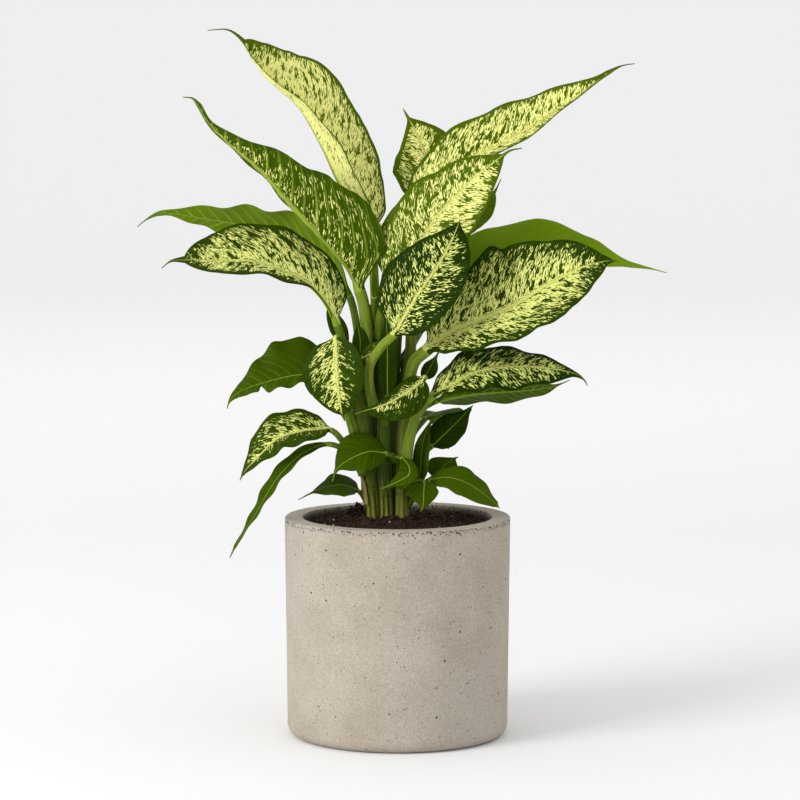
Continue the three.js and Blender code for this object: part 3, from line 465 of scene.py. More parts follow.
# mound: the low rise round the canes. heap: a small pile of crumbs, its middle and its radius. The sizes of crumbs
# and perlite grains are radii, smallest and largest. crumbGap, wallGap: free of crumbs along the pot's wall
soilShape = dict(
    edge=188, mound=9, spread=34, centre=-8, lump=0.9, lumpWaves=((0.31, 0.17), (-0.11, 0.37)), rings=46, sides=150,
    radius=82.2, footRadius=81.0, foot=20.4, roughHeights=(0.9, 0.6), roughSizes=(6, 2.4), crumbs=1500,
    crumbSize=(0.5, 1.9), perlite=26, perliteSize=(0.6, 1.3), mostlySmall=2.2, crumbGap=3, wallGap=2.5,
    sunk=0.25, heap=(-36, 44, 13), heapCrumbs=150, heapHeight=7, heapSolid=0.6, heapSpread=(8, 6), heapFall=90,
    heapCoarser=1.2,
)


def soilHeight(x, y):
    shape = soilShape
    mound = shape["mound"] * math.exp(-((x - shape["centre"]) ** 2 + y * y) / shape["spread"] ** 2)
    lumps = sum(math.sin(x * alongX + y * alongY) for alongX, alongY in shape["lumpWaves"])
    return shape["edge"] + mound + shape["lump"] * lumps


def soilTop(x, y):
    shape = soilShape
    heapX, heapY, heapRadius = shape["heap"]
    heap = math.exp(-((x - heapX) ** 2 + (y - heapY) ** 2) / heapRadius ** 2)
    rough = sum(height * noise.noise(Vector((x, y, 0)) / size)
                for height, size in zip(shape["roughHeights"], shape["roughSizes"]))
    return soilHeight(x, y) + shape["heapHeight"] * shape["heapSolid"] * heap + rough


def soilPiece(shape):
    sides, rings = shape["sides"], shape["rings"]
    points = [(0, 0, soilTop(0, 0))]
    for ring in range(1, rings + 1):
        points += [(x, y, soilTop(x, y)) for x, y, _ in circle(shape["radius"] * ring / rings, 0, sides)]
    points += circle(shape["footRadius"], shape["foot"], sides) + [(0, 0, shape["foot"])]
    faces = capFaces(0, 1, sides) + ringFaces(rings + 1, sides, 1, flip=True)
    faces += capFaces(len(points) - 1, 1 + rings * sides, sides, flip=True)
    kinds = [0] * len(faces)

    # crumbs and perlite lie on the top, each a small uneven grain made from a regular body of twenty faces
    draw = np.random.default_rng(7)
    golden = (1 + 5 ** 0.5) / 2
    grain = [(-1, golden, 0), (1, golden, 0), (-1, -golden, 0), (1, -golden, 0), (0, -1, golden), (0, 1, golden),
             (0, -1, -golden), (0, 1, -golden), (golden, 0, -1), (golden, 0, 1), (-golden, 0, -1), (-golden, 0, 1)]
    grain = np.array(grain) / math.hypot(1, golden)
    grainFaces = [(0, 11, 5), (0, 5, 1), (0, 1, 7), (0, 7, 10), (0, 10, 11), (1, 5, 9), (5, 11, 4), (11, 10, 2),
                  (10, 7, 6), (7, 1, 8), (3, 9, 4), (3, 4, 2), (3, 2, 6), (3, 6, 8), (3, 8, 9), (4, 9, 5), (2, 4, 11),
                  (6, 2, 10), (8, 6, 7), (9, 8, 1)]
    heapX, heapY, _ = shape["heap"]
    for count, (smallest, largest), kind, heaped in (
        (shape["crumbs"], shape["crumbSize"], 0, False),
        (shape["perlite"], shape["perliteSize"], 1, False),
        (shape["heapCrumbs"], shape["crumbSize"], 0, True),
    ):
        for _ in range(count):
            size = smallest + (largest - smallest) * draw.random() ** shape["mostlySmall"]
            if heaped:
                x, y = draw.normal(heapX, shape["heapSpread"][0]), draw.normal(heapY, shape["heapSpread"][1])
                away = (x - heapX) ** 2 + (y - heapY) ** 2
                lift = draw.random() * shape["heapHeight"] * math.exp(-away / shape["heapFall"])
                size *= shape["heapCoarser"]
            else:
                reach = (shape["radius"] - shape["crumbGap"]) * math.sqrt(draw.random())
                turn = 2 * math.pi * draw.random()
                x, y = reach * math.cos(turn), reach * math.sin(turn)
                lift = 0.0
            if math.hypot(x, y) > shape["radius"] - shape["wallGap"]:
                continue
            stretch = size * (0.7 + 0.6 * draw.random(3))  # from 0.7 to 1.3 times as long each way
            lumpy = 1 + 0.25 * (draw.random((len(grain), 1)) - 0.5)
            turned = np.linalg.qr(draw.normal(size=(3, 3)))[0]
            if np.linalg.det(turned) < 0:
                turned[:, 0] *= -1
            body = (grain * lumpy * stretch) @ turned.T + (x, y, soilTop(x, y) + size * shape["sunk"] + lift)
            start = len(points)
            points.extend(map(tuple, body))
            faces.extend(tuple(start + i for i in face) for face in grainFaces)
            kinds.extend([kind] * len(grainFaces))
    made = meshObject("potting_soil", points, faces, [soilFinish, perliteFinish], kinds)
    placeInFrame(made, "soil", "peat_soil")
    return made


soilPiece(soilShape)
print("soil made")


def makeRoute(points):
    # centripetal Catmull-Rom through the points, read by length in mm
    points = np.array(points, dtype=float)
    padded = np.vstack([2 * points[0] - points[1], points, 2 * points[-1] - points[-2]])
    steps = 24  # to each stretch between two points
    samples = []
    for i in range(len(points) - 1):
        p = padded[i:i + 4]
        gaps = np.sqrt(np.linalg.norm(np.diff(p, axis=0), axis=1))
        start = (p[1] - p[0]) / gaps[0] - (p[2] - p[0]) / (gaps[0] + gaps[1]) + (p[2] - p[1]) / gaps[1]
        end = (p[2] - p[1]) / gaps[1] - (p[3] - p[1]) / (gaps[1] + gaps[2]) + (p[3] - p[2]) / gaps[2]
        start, end = start * gaps[1], end * gaps[1]
        t = np.arange(steps + (i == len(points) - 2))[:, None] / steps
        samples.append(p[1] + start * t + (3 * (p[2] - p[1]) - 2 * start - end) * t ** 2
                       + (2 * (p[1] - p[2]) + start + end) * t ** 3)
    samples = np.vstack(samples)
    lengths = np.concatenate([[0], np.cumsum(np.linalg.norm(np.diff(samples, axis=0), axis=1))])

    def at(length):
        return np.stack([np.interp(length, lengths, samples[:, axis]) for axis in range(3)], axis=-1)

    def along(length):
        reach = lengths[-1] * 0.008
        return unit(at(length + reach) - at(length - reach))

    return at, along, lengths[-1], lengths[::steps]


def unit(vectors):
    return vectors / np.linalg.norm(vectors, axis=-1, keepdims=True)


def smooth(value):
    share = np.clip(value, 0, 1)
    return share * share * (3 - 2 * share)


def mix(a, b, share):
    return a + (b - a) * share


# route: from inside the soil to the top. radius: at the foot and at the top. scars: heights of the leaf scars.
# pale: 0 dark green, 1 pale. sheaths: height of the foot, own height, direction in degrees from the viewer to the
# right, and width in degrees
canes = {
    "cane_left": dict(
        route=[[-21, -4, 160], [-21.5, -4, 200], [-25, -4, 235], [-30, -4, 268], [-32.5, -3, 298], [-32, -2, 325]],
        radius=(5.6, 8.5), scars=(204, 222, 248, 284), pale=0.35,
        sheaths=((201, 30, 215, 120), (206, 34, 285, 90), (222, 26, 175, 80)),
    ),
    "cane_front": dict(
        route=[[-9.8, -9, 160], [-9.8, -9, 200], [-11.5, -10, 240], [-11.5, -10, 285], [-10, -10, 330],
               [-4, -9, 360]],
        radius=(6, 6.2), scars=(214, 246, 290), pale=0.1, sheaths=(),
    ),
    "cane_middle": dict(
        route=[[-11, 8, 160], [-11, 8, 200], [-15, 8, 235], [-19, 8, 268], [-21, 8, 305], [-20.5, 7, 345],
               [-20, 6, 382]],
        radius=(6.5, 5.4), scars=(214, 250, 300, 345), pale=0.25, sheaths=(),
    ),
    "cane_right": dict(
        route=[[3.6, -6, 160], [3.6, -6, 205], [4.8, -5, 250], [8, -2, 300], [11.5, 2, 342], [12, 3, 366]],
        radius=(6.8, 4.8), scars=(216, 258, 305), pale=0.7, sheaths=(),
    ),
    "cane_back": dict(
        route=[[-1.2, 18.5, 160], [-1.2, 18.5, 200], [-3.6, 18.5, 250], [-3.6, 18.5, 300], [-1.5, 18.5, 345],
               [3, 19.5, 392], [6, 20, 418]],
        radius=(7, 4.6), scars=(214, 250, 290, 335, 385), pale=0.3, sheaths=(),
    ),
}
# ridges: how many round, height as a share of the radius, mm up for one radian of winding. bulge, groove: of a leaf
# scar. The pattern's scales are mm to a radian round the cane and mm to a degree round a sheath
caneDetail = dict(
    sides=36, rows=150, ridges=((5, 0.03, 40), (9, 0.02, -60)), topCap=2, topTone=0.4, aroundScale=6,
    bulge=0.14, bulgeBelow=2.5, bulgeReach=2.2, groove=0.12, grooveReach=0.7, scarReach=0.9, scarTone=0.45,
    sheathBands=18, sheathSlices=22, sheathThick=0.45, sheathGap=0.5, sheathScale=0.12,
    ragged=0.22, topFlare=1.1, sideFlare=0.5,
)


def caneSheath(grid, mapped, sheath, detail, centre, near, right, radius):
    # adds the points of one papery sheath, outer side first, and gives its faces
    foot, tall, middle, width = sheath
    start = len(grid)
    bands, slices, thick = detail["sheathBands"], detail["sheathSlices"], detail["sheathThick"]
    for layer in range(2):
        for band in range(bands + 1):
            for piece in range(slices + 1):
                share = piece / slices
                angle = math.radians(middle + (share - 0.5) * width)
                # the torn top edge, highest in the middle
                ragged = detail["ragged"] * noise.noise(Vector((share * 6, foot, 1)))
                torn = tall * (0.62 + 0.38 * math.sin(math.pi * share) + ragged)
                up = foot + torn * band / bands
                row = min(len(centre) - 1, int(np.searchsorted(centre[:, 2], up)))
                lifted = detail["topFlare"] * (band / bands) ** 3 + detail["sideFlare"] * (2 * share - 1) ** 4
                out = radius[row] + detail["sheathGap"] + thick * (1 - layer) + lifted
                spot = centre[row] + near[row] * out * math.cos(angle) + right[row] * out * math.sin(angle)
                grid.append((spot[0], spot[1], up))
                mapped.append((share * width * detail["sheathScale"], up, 0))
    faces = []
    layerSize = (bands + 1) * (slices + 1)
    for band in range(bands):
        for piece in range(slices):
            a = start + band * (slices + 1) + piece
            b, c, d = a + 1, a + slices + 2, a + slices + 1
            faces += [(a, d, c, b), tuple(layerSize + corner for corner in (a, b, c, d))]
    rim = ([band * (slices + 1) for band in range(bands)]
           + [bands * (slices + 1) + piece for piece in range(slices)]
           + [band * (slices + 1) + slices for band in range(bands, 0, -1)] + list(range(slices, 0, -1)))
    for a, b in zip(rim, rim[1:] + rim[:1]):
        faces.append((start + a, start + a + layerSize, start + b + layerSize, start + b))
    return faces


def canePiece(name, shape, detail):
    at, along, total, _ = makeRoute(shape["route"])
    sides, rows = detail["sides"], detail["rows"]
    length = np.linspace(0, total, rows)
    centre, forward = at(length), along(length)
    near = unit(np.cross([1.0, 0.0, 0.0], forward))  # towards the viewer
    right = np.cross(forward, near)
    radius = mix(shape["radius"][0], shape["radius"][1], length / total)
    scar = np.zeros(rows)
    for height in shape["scars"]:
        away = centre[:, 2] - height
        # a leaf scar: a fine groove with a low swelling under it
        radius = radius + detail["bulge"] * np.exp(-((away + detail["bulgeBelow"]) / detail["bulgeReach"]) ** 2)
        radius = radius - detail["groove"] * np.exp(-(away / detail["grooveReach"]) ** 2)
        scar = np.maximum(scar, np.exp(-(away / detail["scarReach"]) ** 2))
    turn = 2 * np.pi * np.arange(sides) / sides
    # soft lengthwise ridges that wind slowly round
    ribbed = 0.97
    for count, height, winding in detail["ridges"]:
        ribbed = ribbed + height * np.sin(count * turn[None, :] + length[:, None] / winding)
    reach = radius[:, None] * ribbed
    points = (centre[:, None] + near[:, None] * (reach * np.cos(turn))[..., None]
              + right[:, None] * (reach * np.sin(turn))[..., None])
    grid = points.reshape(-1, 3).tolist() + [tuple(centre[0]), tuple(centre[-1] + forward[-1] * detail["topCap"])]
    # mm round from the front, the same to both sides, so that the streaks have no seam
    around = np.abs(((turn + np.pi) % (2 * np.pi)) - np.pi) * detail["aroundScale"]
    toned = detail["scarTone"] * scar
    mapped = np.stack(np.broadcast_arrays(around, length[:, None], toned[:, None]), axis=-1).reshape(-1, 3).tolist()
    mapped += [(0, 0, 0), (0, total, detail["topTone"])]
    faces = ringFaces(rows, sides, flip=True) + capFaces(rows * sides, 0, sides)
    faces += capFaces(rows * sides + 1, (rows - 1) * sides, sides, flip=True)
    kinds = [0] * len(faces)  # 0 bark, 1 papery sheath
    for sheath in shape["sheaths"]:
        faces += caneSheath(grid, mapped, sheath, detail, centre, near, right, radius)
    kinds += [1] * (len(faces) - len(kinds))
    made = meshObject(name.replace("cane_", "stem_"), grid, faces, [caneFinish, sheathFinish], kinds)
    addAttribute(made, "caneMap", mapped)
    addAttribute(made, "caneTone", np.broadcast_to((shape["pale"], 0, 0), (len(grid), 3)))
    placeInFrame(made, name, "cane")
    return made


for caneName, caneShape in canes.items():
    canePiece(caneName, caneShape, caneDetail)
print("canes made")

# A leaf's shape. stalk, rib and drip are one route: up the stalk, along the midrib and out to the drip tip.
# face: the way the upper side looks, at the foot and the tip of the blade. half, broad, taper, begins: half-width in
# mm, place of the widest, sharpness of the tip and start of the blade, left and right of the rib. fold: rise of the
# two halves in degrees, foot and tip. wave: height and count along the margin. stem: stalk radius, foot and blade.
# tip: half-width of the drawn-out tip. uneven: of the outline, as a share. tears: half, place along the blade, depth
# and width as shares. pucker: rise between the side veins. spacing, bend: of the side veins.
# Its look. tone: 0 old and dark, 1 young and bright. upper and under: how cream each face is, then how much more by
# the midrib and how far out in mm. margin: width of the green edge, left and right. thinning: over how many mm the
# flecks thin out beside it. extra: more cream, left and right. ribWidth: half-width of the pale midrib at its foot.
# veins: how pale the vein lines are. stalkPale: how pale the stalk is
plainLeaf = dict(
    begins=(0, 0), bend=0.3, uneven=0.05, tears=(), pucker=0.12, tone=0.25, upper=(-0.5, 0, 9), under=(-0.5, 0, 9),
    margin=(3, 3), thinning=9, extra=(0, 0), ribWidth=0.9, veins=0.5, stalkPale=0.22, slot="leaf_green",
)
leafSizes = {
    "small": dict(bladeRows=44, columns=10, tip=1.6, spacing=6),
    "middle": dict(bladeRows=68, columns=14, tip=2.6, spacing=9),
    "large": dict(bladeRows=104, columns=19, tip=3.6, spacing=12),
}
leaves = {
    "leaf_top_left": dict(
        stalk=[(-19, 8, 350), (-20, 18, 392)],
        rib=[(-24, 27, 436), (-38, 30, 466), (-53, 31, 494), (-66, 30, 522), (-87, 25, 557), (-105, 19, 573),
             (-117, 13, 585), (-129, 8, 601), (-136, 5, 613)], drip=[(-148, 2, 623), (-166, 0, 623)],
        face=((0.78, -0.2, 0.6), (0.71, -0.45, 0.53)), half=(46, 52), fold=(44, 42), broad=(0.35, 0.42),
        taper=(1, 0.58), wave=(1.2, 3), stem=(4.5, 4), size="large", tone=0.45, upper=(0.05, 0.08, 22),
        under=(0.1, 0.14, 26), margin=(2, 2), veins=0.2, thinning=13, stalkPale=0.7, slot="leaf_pale",
    ),
    "leaf_upper_left": dict(
        stalk=[(-32, -2, 316), (-27, -3, 338), (-29, -4, 378)],
        rib=[(-33, -5, 395), (-44, -8, 417), (-64, -11, 441), (-93, -16, 472), (-118, -21, 501), (-150, -25, 529),
             (-165, -27, 545), (-173, -28, 558)], drip=[(-178, -28, 564), (-186, -28, 565)],
        face=((0.376, 0.82, 0.43), (0.5, 0.64, 0.58)), half=(49, 10), fold=(44, 26), broad=(0.26, 0.62),
        taper=(1.72, 1), wave=(1.6, 5), stem=(5.5, 5.2), size="large", begins=(0, 0.25), tone=0.16,
        upper=(-0.1, 0.08, 10), under=(-0.135, 0.04, 10), margin=(4, 4), pucker=1.3, veins=1.6, spacing=16, bend=0.9,
        stalkPale=0.8, slot="leaf_flecked",
    ),
    "leaf_left_back": dict(
        stalk=[(-34, 2, 305), (-34, 12, 345)],
        rib=[(-42, 34, 386), (-58, 48, 412), (-84, 52, 432), (-115, 50, 446), (-145, 45, 453), (-175, 39, 458),
             (-210, 34, 462)], drip=[(-222, 31, 457), (-231, 30, 450)],
        face=((0.3, 0.45, 0.8), (0, 0.55, 0.83)), half=(40, 33), fold=(10, 4), broad=(0.42, 0.45), taper=(0.9, 1.2),
        wave=(3, 5), stem=(4, 3.5), size="large", tip=4.5, tone=0.8, pucker=0.8, veins=1.4, stalkPale=0.5,
    ),
    "leaf_left_variegated": dict(
        stalk=[(-37, -6, 300), (-45, -11, 338)],
        rib=[(-53, -15, 366), (-65, -21, 390), (-80, -28, 405), (-98, -34, 415), (-123, -40, 423), (-150, -46, 424),
             (-184, -51, 425)], drip=[(-196, -51, 424), (-204, -50, 418)],
        face=((0.35, -0.6, 0.7), (0, -0.62, 0.78)), half=(22, 44), fold=(18, 18), broad=(0.72, 0.5),
        taper=(0.6, 0.54), wave=(1.6, 4), stem=(4, 3.5), size="large", tip=4.5, begins=(0.26, 0), tone=0.1,
        upper=(-0.035, 0.12, 16), under=(-0.06, 0.1, 12), margin=(4, 2.5), ribWidth=1.6, stalkPale=0.5,
        slot="leaf_flecked",
    ),
    "leaf_left_dark": dict(
        stalk=[(-28, -9, 234), (-35, -11, 257), (-41, -9, 280), (-49, -4, 300)],
        rib=[(-60, -1, 316), (-83, -4, 321), (-108, -8, 317), (-134, -11, 309), (-143, -12, 304)],
        drip=[(-148, -12, 298), (-150, -12, 292)],
        face=((0.3, -0.6, 0.74), (-0.2, -0.6, 0.77)), half=(13, 44), fold=(12, 6), broad=(0.6, 0.34), taper=(0.7, 1),
        wave=(2.4, 4), stem=(5.5, 3.4), size="middle", tip=5, veins=1.6, stalkPale=0.5,
        tears=((0, 0.72, 0.86, 0.03),),
    ),
    "leaf_round": dict(
        stalk=[(-34, -8, 306), (-42, -17, 340)],
        rib=[(-53, -26, 356), (-53.5, -33, 340), (-52.5, -37, 322), (-50.5, -38, 303), (-48, -35, 289)],
        drip=[(-46, -33, 283)],
        face=((-0.3, -0.6, 0.75), (-0.35, -0.93, -0.1)), half=(25, 33), fold=(8, -4), broad=(0.5, 0.5),
        taper=(0.6, 0.6), wave=(1, 2), stem=(3.5, 3), size="middle", tip=2, tone=0.1, upper=(-0.13, 0.26, 9),
        under=(-0.15, 0.15, 9), margin=(6, 6), extra=(-0.09, 0.02), ribWidth=1.5, stalkPale=0.3, slot="leaf_flecked",
    ),
    "leaf_low_left": dict(
        stalk=[(-33, -7, 244), (-46, -11, 260)],
        rib=[(-58, -15, 273), (-75, -20, 274), (-93, -25, 271), (-106, -28, 266), (-118, -31, 255), (-127, -33, 246),
             (-135, -34, 237)], drip=[(-138, -34, 231)],
        face=((0.2, -0.5, 0.84), (-0.4, -0.5, 0.77)), half=(19, 29), fold=(16, 8), broad=(0.4, 0.45),
        taper=(0.9, 0.9), wave=(1.6, 4), stem=(3.2, 2.6), size="middle", tone=0.14, upper=(-0.13, 0.2, 8),
        under=(-0.2, 0.1, 8), margin=(4, 4), extra=(-0.12, 0.03), stalkPale=0.6, slot="leaf_flecked",
    ),
    "leaf_long_drooping": dict(
        stalk=[(-31, -9, 234), (-44, -16, 254)],
        rib=[(-58, -19, 261), (-69, -22, 260), (-84, -26, 253), (-98, -30, 241), (-110, -33, 226), (-121, -35, 207),
             (-131, -36, 191), (-142, -37, 173)], drip=[(-147, -37, 163)],
        face=((0.1, -0.6, 0.8), (-0.6, -0.6, 0.5)), half=(7.5, 7.5), fold=(34, 24), broad=(0.4, 0.4), taper=(1, 1),
        wave=(1.4, 5), stem=(3, 2.4), size="middle", tip=2, stalkPale=0.4,
    ),
    "leaf_centre_dark": dict(
        stalk=[(-19, -12, 288), (-24.5, -20, 312), (-24, -29, 332), (-13, -37, 350)],
        rib=[(-3.5, -43, 359.5), (6.5, -49, 377), (16, -55, 393), (26, -60, 408), (36, -62, 423), (45, -61, 439),
             (52, -56, 455)], drip=[(54, -54, 460)],
        face=((-0.5, -0.85, 0.15), (-0.15, -0.93, 0.33)), half=(39, 32), fold=(10, 0), broad=(0.38, 0.52),
        taper=(0.7, 0.7), wave=(1.6, 3), stem=(4.6, 3.8), size="large", tone=0.02, upper=(-0.105, 0.12, 12),
        under=(-0.1, 0.1, 9), thinning=12, ribWidth=1.6, stalkPale=0.8, slot="leaf_flecked",
    ),
    "leaf_centre_sliver": dict(
        stalk=[(-20, 0, 336), (-10, -7, 352)],
        rib=[(-11, -13, 350), (-20, -15, 343), (-31, -17, 337), (-41, -17, 334)], drip=[(-47, -17, 332)],
        face=((0.2, -0.8, 0.5), (0, -0.8, 0.6)), half=(9, 8), fold=(8, 0), broad=(0.4, 0.4), taper=(0.8, 0.8),
        wave=(0.4, 2), stem=(2.4, 2), size="small", upper=(-0.14, 0.05, 6), under=(-0.12, 0, 9), slot="leaf_flecked",
    ),
    "leaf_front_small": dict(
        stalk=[(-3, -14, 247), (-4, -18, 250.5)],
        rib=[(-10, -22, 253), (-23, -30, 256), (-33, -36, 254), (-44, -41, 249), (-53, -44, 242)],
        drip=[(-57, -45, 231)],
        face=((0.1, -0.7, 0.7), (-0.4, -0.8, 0.4)), half=(18, 24), fold=(8, 0), broad=(0.5, 0.5), taper=(0.9, 0.9),
        wave=(1.2, 2), stem=(3, 2.4), size="middle", tip=2.4, tone=0.2,
    ),
    "leaf_foot_left": dict(
        stalk=[(-26, -2, 203), (-29, 4, 209)], rib=[(-34, 5, 216), (-48, 3, 222), (-62, 0, 221), (-76, -2, 216)],
        drip=[(-88, -4, 210)],
        face=((0.3, -0.35, 0.89), (-0.2, -0.35, 0.91)), half=(19, 19), fold=(10, 0), broad=(0.45, 0.45),
        taper=(1.1, 1.1), wave=(0.8, 2), stem=(2.6, 2), size="small",
    ),
    "leaf_front_tiny": dict(
        stalk=[(2, -13, 244), (-0.5, -20, 250)],
        rib=[(3, -22, 249.5), (9.5, -27, 243), (10, -31, 236), (2, -35, 231), (-8, -37, 226.5)],
        drip=[(-14, -37, 224)],
        face=((0.4, -0.6, 0.7), (0, -0.9, 0.4)), half=(8, 9), fold=(8, 0), broad=(0.45, 0.45), taper=(0.9, 0.9),
        wave=(0.5, 2), stem=(2.2, 1.8), size="small", tip=2,
    ),
    "leaf_foot_front": dict(
        stalk=[(8, -10, 214), (17, -15, 228)], rib=[(23, -19, 228), (23, -24, 219), (22, -27.5, 206)],
        drip=[(20, -28, 203)],
        face=((0, -0.6, 0.8), (0, -0.95, 0.3)), half=(13, 15), fold=(8, 0), broad=(0.4, 0.4), taper=(1, 1),
        wave=(0.5, 2), stem=(2.2, 1.8), size="small", tip=1.4,
    ),
    "leaf_low_right": dict(
        stalk=[(8, -5, 204), (18, -8, 217)],
        rib=[(28, -9, 227), (38, -12, 230.5), (49, -15, 230.5), (62, -18, 226), (75, -21, 218), (86, -23, 208.5)],
        drip=[(90, -24, 205)],
        face=((-0.2, -0.5, 0.84), (0.3, -0.5, 0.81)), half=(17, 19), fold=(12, 4), broad=(0.45, 0.6),
        taper=(0.8, 0.7), wave=(1.2, 3), stem=(3, 2.4), size="middle", tip=5, tone=0.3, veins=0.7,
    ),
    "leaf_low_right_back": dict(
        stalk=[(8, 1, 214), (22, 6, 223)], rib=[(31, 10, 228), (42, 16, 238), (51, 21, 244)], drip=[(54, 23, 245)],
        face=((-0.4, -0.6, 0.7), (-0.2, -0.6, 0.77)), half=(18, 18), fold=(8, 0), broad=(0.5, 0.5), taper=(0.9, 0.9),
        wave=(0.8, 2), stem=(2.4, 2), size="small", tone=0.35,
    ),
    "leaf_upright": dict(
        stalk=[(9, -4, 212), (14, -3, 217)],
        rib=[(18, -3, 223), (20.5, -3, 236), (21.5, -3, 250), (23.5, -3, 264), (29, -2.5, 278)], drip=[(37, -1, 286)],
        face=((-0.7, -0.7, 0.1), (-0.5, -0.7, 0.5)), half=(9, 11), fold=(20, 10), broad=(0.4, 0.4), taper=(0.9, 0.9),
        wave=(0.5, 2), stem=(2.4, 2), size="small",
    ),
    "leaf_right_small": dict(
        stalk=[(7, 0, 236), (19, 9, 247)],
        rib=[(30, 14, 255), (40, 17, 264), (49, 19, 272.5), (58, 20, 281.5), (64, 21, 288)], drip=[(67, 21, 291.5)],
        face=((-0.4, -0.8, 0.45), (-0.3, -0.8, 0.5)), half=(17, 15), fold=(8, 0), broad=(0.4, 0.42), taper=(1, 1),
        wave=(1, 2), stem=(2.6, 2.2), size="small", tip=2.5, tone=0.1,
    ),
    "leaf_right_middle": dict(
        stalk=[(6, -12, 222), (8, -14, 250), (11, -16, 268), (17, -19, 287)],
        rib=[(27, -24, 301), (50, -34, 317), (64, -38, 325), (82, -42, 330), (106, -46, 332), (128, -48, 331),
             (154, -49, 326)], drip=[(162, -49, 321), (165, -48, 316)],
        face=((-0.3, -0.6, 0.74), (0.1, -0.6, 0.79)), half=(31, 26), fold=(6, 0), broad=(0.34, 0.55),
        taper=(0.75, 0.75), wave=(2, 4), stem=(6, 4), size="large", begins=(0, 0.12), tone=0.02,
        upper=(-0.08, 0.12, 12), under=(-0.2, 0.1, 9), ribWidth=1.1, stalkPale=0.65, slot="leaf_flecked",
    ),
    "leaf_right_under": dict(
        stalk=[(11, -1, 268), (20, 4, 288)],
        rib=[(33, 8, 296), (60, 12, 302), (90, 12, 305), (118, 9, 307), (140, 4, 311)], drip=[(152, 0, 316)],
        face=((-0.3, 0.4, 0.87), (0, 0.5, 0.86)), half=(28, 28), fold=(10, 0), broad=(0.3, 0.32), taper=(0.7, 0.7),
        wave=(1.6, 3), stem=(3.4, 2.6), size="middle", veins=0.8,
    ),
    "leaf_right_sheath": dict(
        stalk=[(12, 0, 296), (19, 5, 305)], rib=[(23, 8, 316), (29, 9, 326), (34, 9, 335.5)], drip=[(37, 9, 341)],
        face=((-0.5, -0.85, 0.1), (-0.5, -0.85, 0.1)), half=(7, 9), fold=(20, 10), broad=(0.45, 0.45),
        taper=(0.9, 0.9), wave=(0.3, 2), stem=(2.4, 2), size="small", tone=0.2, veins=0.1, pucker=0,
    ),
    "leaf_lower_centre": dict(
        stalk=[(12, -9, 294), (18, -19, 314)],
        rib=[(24, -29, 321), (18, -36, 316), (3, -43, 306), (-11, -47, 299), (-28, -50, 294)], drip=[(-37, -50, 291)],
        face=((0.2, -0.7, 0.7), (-0.1, -0.8, 0.6)), half=(22, 11), fold=(6, 0), broad=(0.5, 0.25), taper=(0.9, 1),
        wave=(1, 2), stem=(3, 2.6), size="middle", begins=(0.06, 0), tone=0.08, upper=(-0.185, 0.21, 5),
        under=(-0.2, 0.1, 9), ribWidth=1.1, slot="leaf_flecked",
    ),
    "leaf_right_large": dict(
        stalk=[(10, -8, 304), (11, -11, 321), (15, -15, 334)],
        rib=[(25, -23, 344), (49, -30, 362), (81, -38, 376), (105, -43, 388), (121, -46, 398), (142, -48, 410),
             (161, -49, 419), (180, -49, 424)], drip=[(191, -48, 424)],
        face=((-0.4, -0.7, 0.6), (-0.2, -0.74, 0.64)), half=(58, 46), fold=(20, 18), broad=(0.48, 0.66),
        taper=(0.75, 0.6), wave=(2, 5), stem=(5.5, 5.5), size="large", tip=6, tone=0.08, upper=(-0.01, 0.1, 18),
        under=(-0.1, 0.1, 12), margin=(3.5, 3), thinning=24, extra=(-0.015, 0.02), ribWidth=3.2, stalkPale=0.8,
        uneven=0.09, slot="leaf_flecked",
    ),
    "leaf_right_back": dict(
        stalk=[(2, 16, 302), (11, 15, 340), (20, 20, 364)],
        rib=[(34, 32, 384), (62, 44, 405), (92, 48, 421), (130, 46, 430), (162, 40, 425), (188, 32, 419),
             (208, 25, 416)], drip=[(226, 19, 413), (238, 15, 410)],
        face=((-0.3, -0.5, 0.81), (0.1, -0.5, 0.86)), half=(42, 32), fold=(16, 10), broad=(0.42, 0.45),
        # its tone above 1 is partly painted light: the leaf is brightened for the light that shines through it from
        # behind
        taper=(0.9, 1), wave=(1.6, 4), stem=(4, 3.5), size="large", tip=4.5, tone=1.05, pucker=0.8, veins=2,
    ),
    "leaf_centre_pale": dict(
        stalk=[(-17, 0, 352), (-14, -5, 380)],
        rib=[(-8, -8, 395), (2, -13, 412), (13, -17, 428), (25, -20, 446), (33, -22, 460), (50, -25, 478),
             (65, -27, 494), (80, -28, 506), (92, -28, 515)], drip=[(98, -28, 519), (108, -27, 521)],
        face=((-0.5, -0.8, 0.3), (-0.35, -0.9, 0.25)), half=(42, 40), fold=(12, 4), broad=(0.36, 0.42),
        taper=(0.85, 0.8), wave=(1.6, 4), stem=(4.5, 4), size="large", tip=1.6, tone=0.38, upper=(0.0, 0.1, 14),
        under=(0, 0.1, 12), margin=(2.2, 2.2), ribWidth=2.6, extra=(-0.08, -0.01), stalkPale=0.5, slot="leaf_pale",
    ),
    "leaf_rolled": dict(
        stalk=[(-20, 1, 366), (-20, -5, 380)], rib=[(-20, -9, 390), (-21, -12, 402), (-21.5, -15, 414)],
        drip=[(-21.5, -17, 426)],
        face=((0.6, -0.8, 0), (0.6, -0.8, 0)), half=(5, 5), fold=(40, 40), broad=(0.3, 0.3), taper=(1, 1),
        wave=(0.2, 1), stem=(3.4, 3.4), size="small", tone=0.5,
    ),
    "leaf_top_right": dict(
        stalk=[(6, 20, 392), (5, 21, 428)],
        rib=[(10, 21, 458), (28, 19, 482), (58, 16, 507), (97, 11, 527), (125, 6, 543), (148, 2, 560), (171, -2, 576),
             (184, -4, 585)], drip=[(196, -6, 592), (207, -8, 594)],
        face=((-0.5, -0.62, 0.6), (-0.46, -0.64, 0.62)), half=(34, 31), fold=(32, 36), broad=(0.46, 0.4),
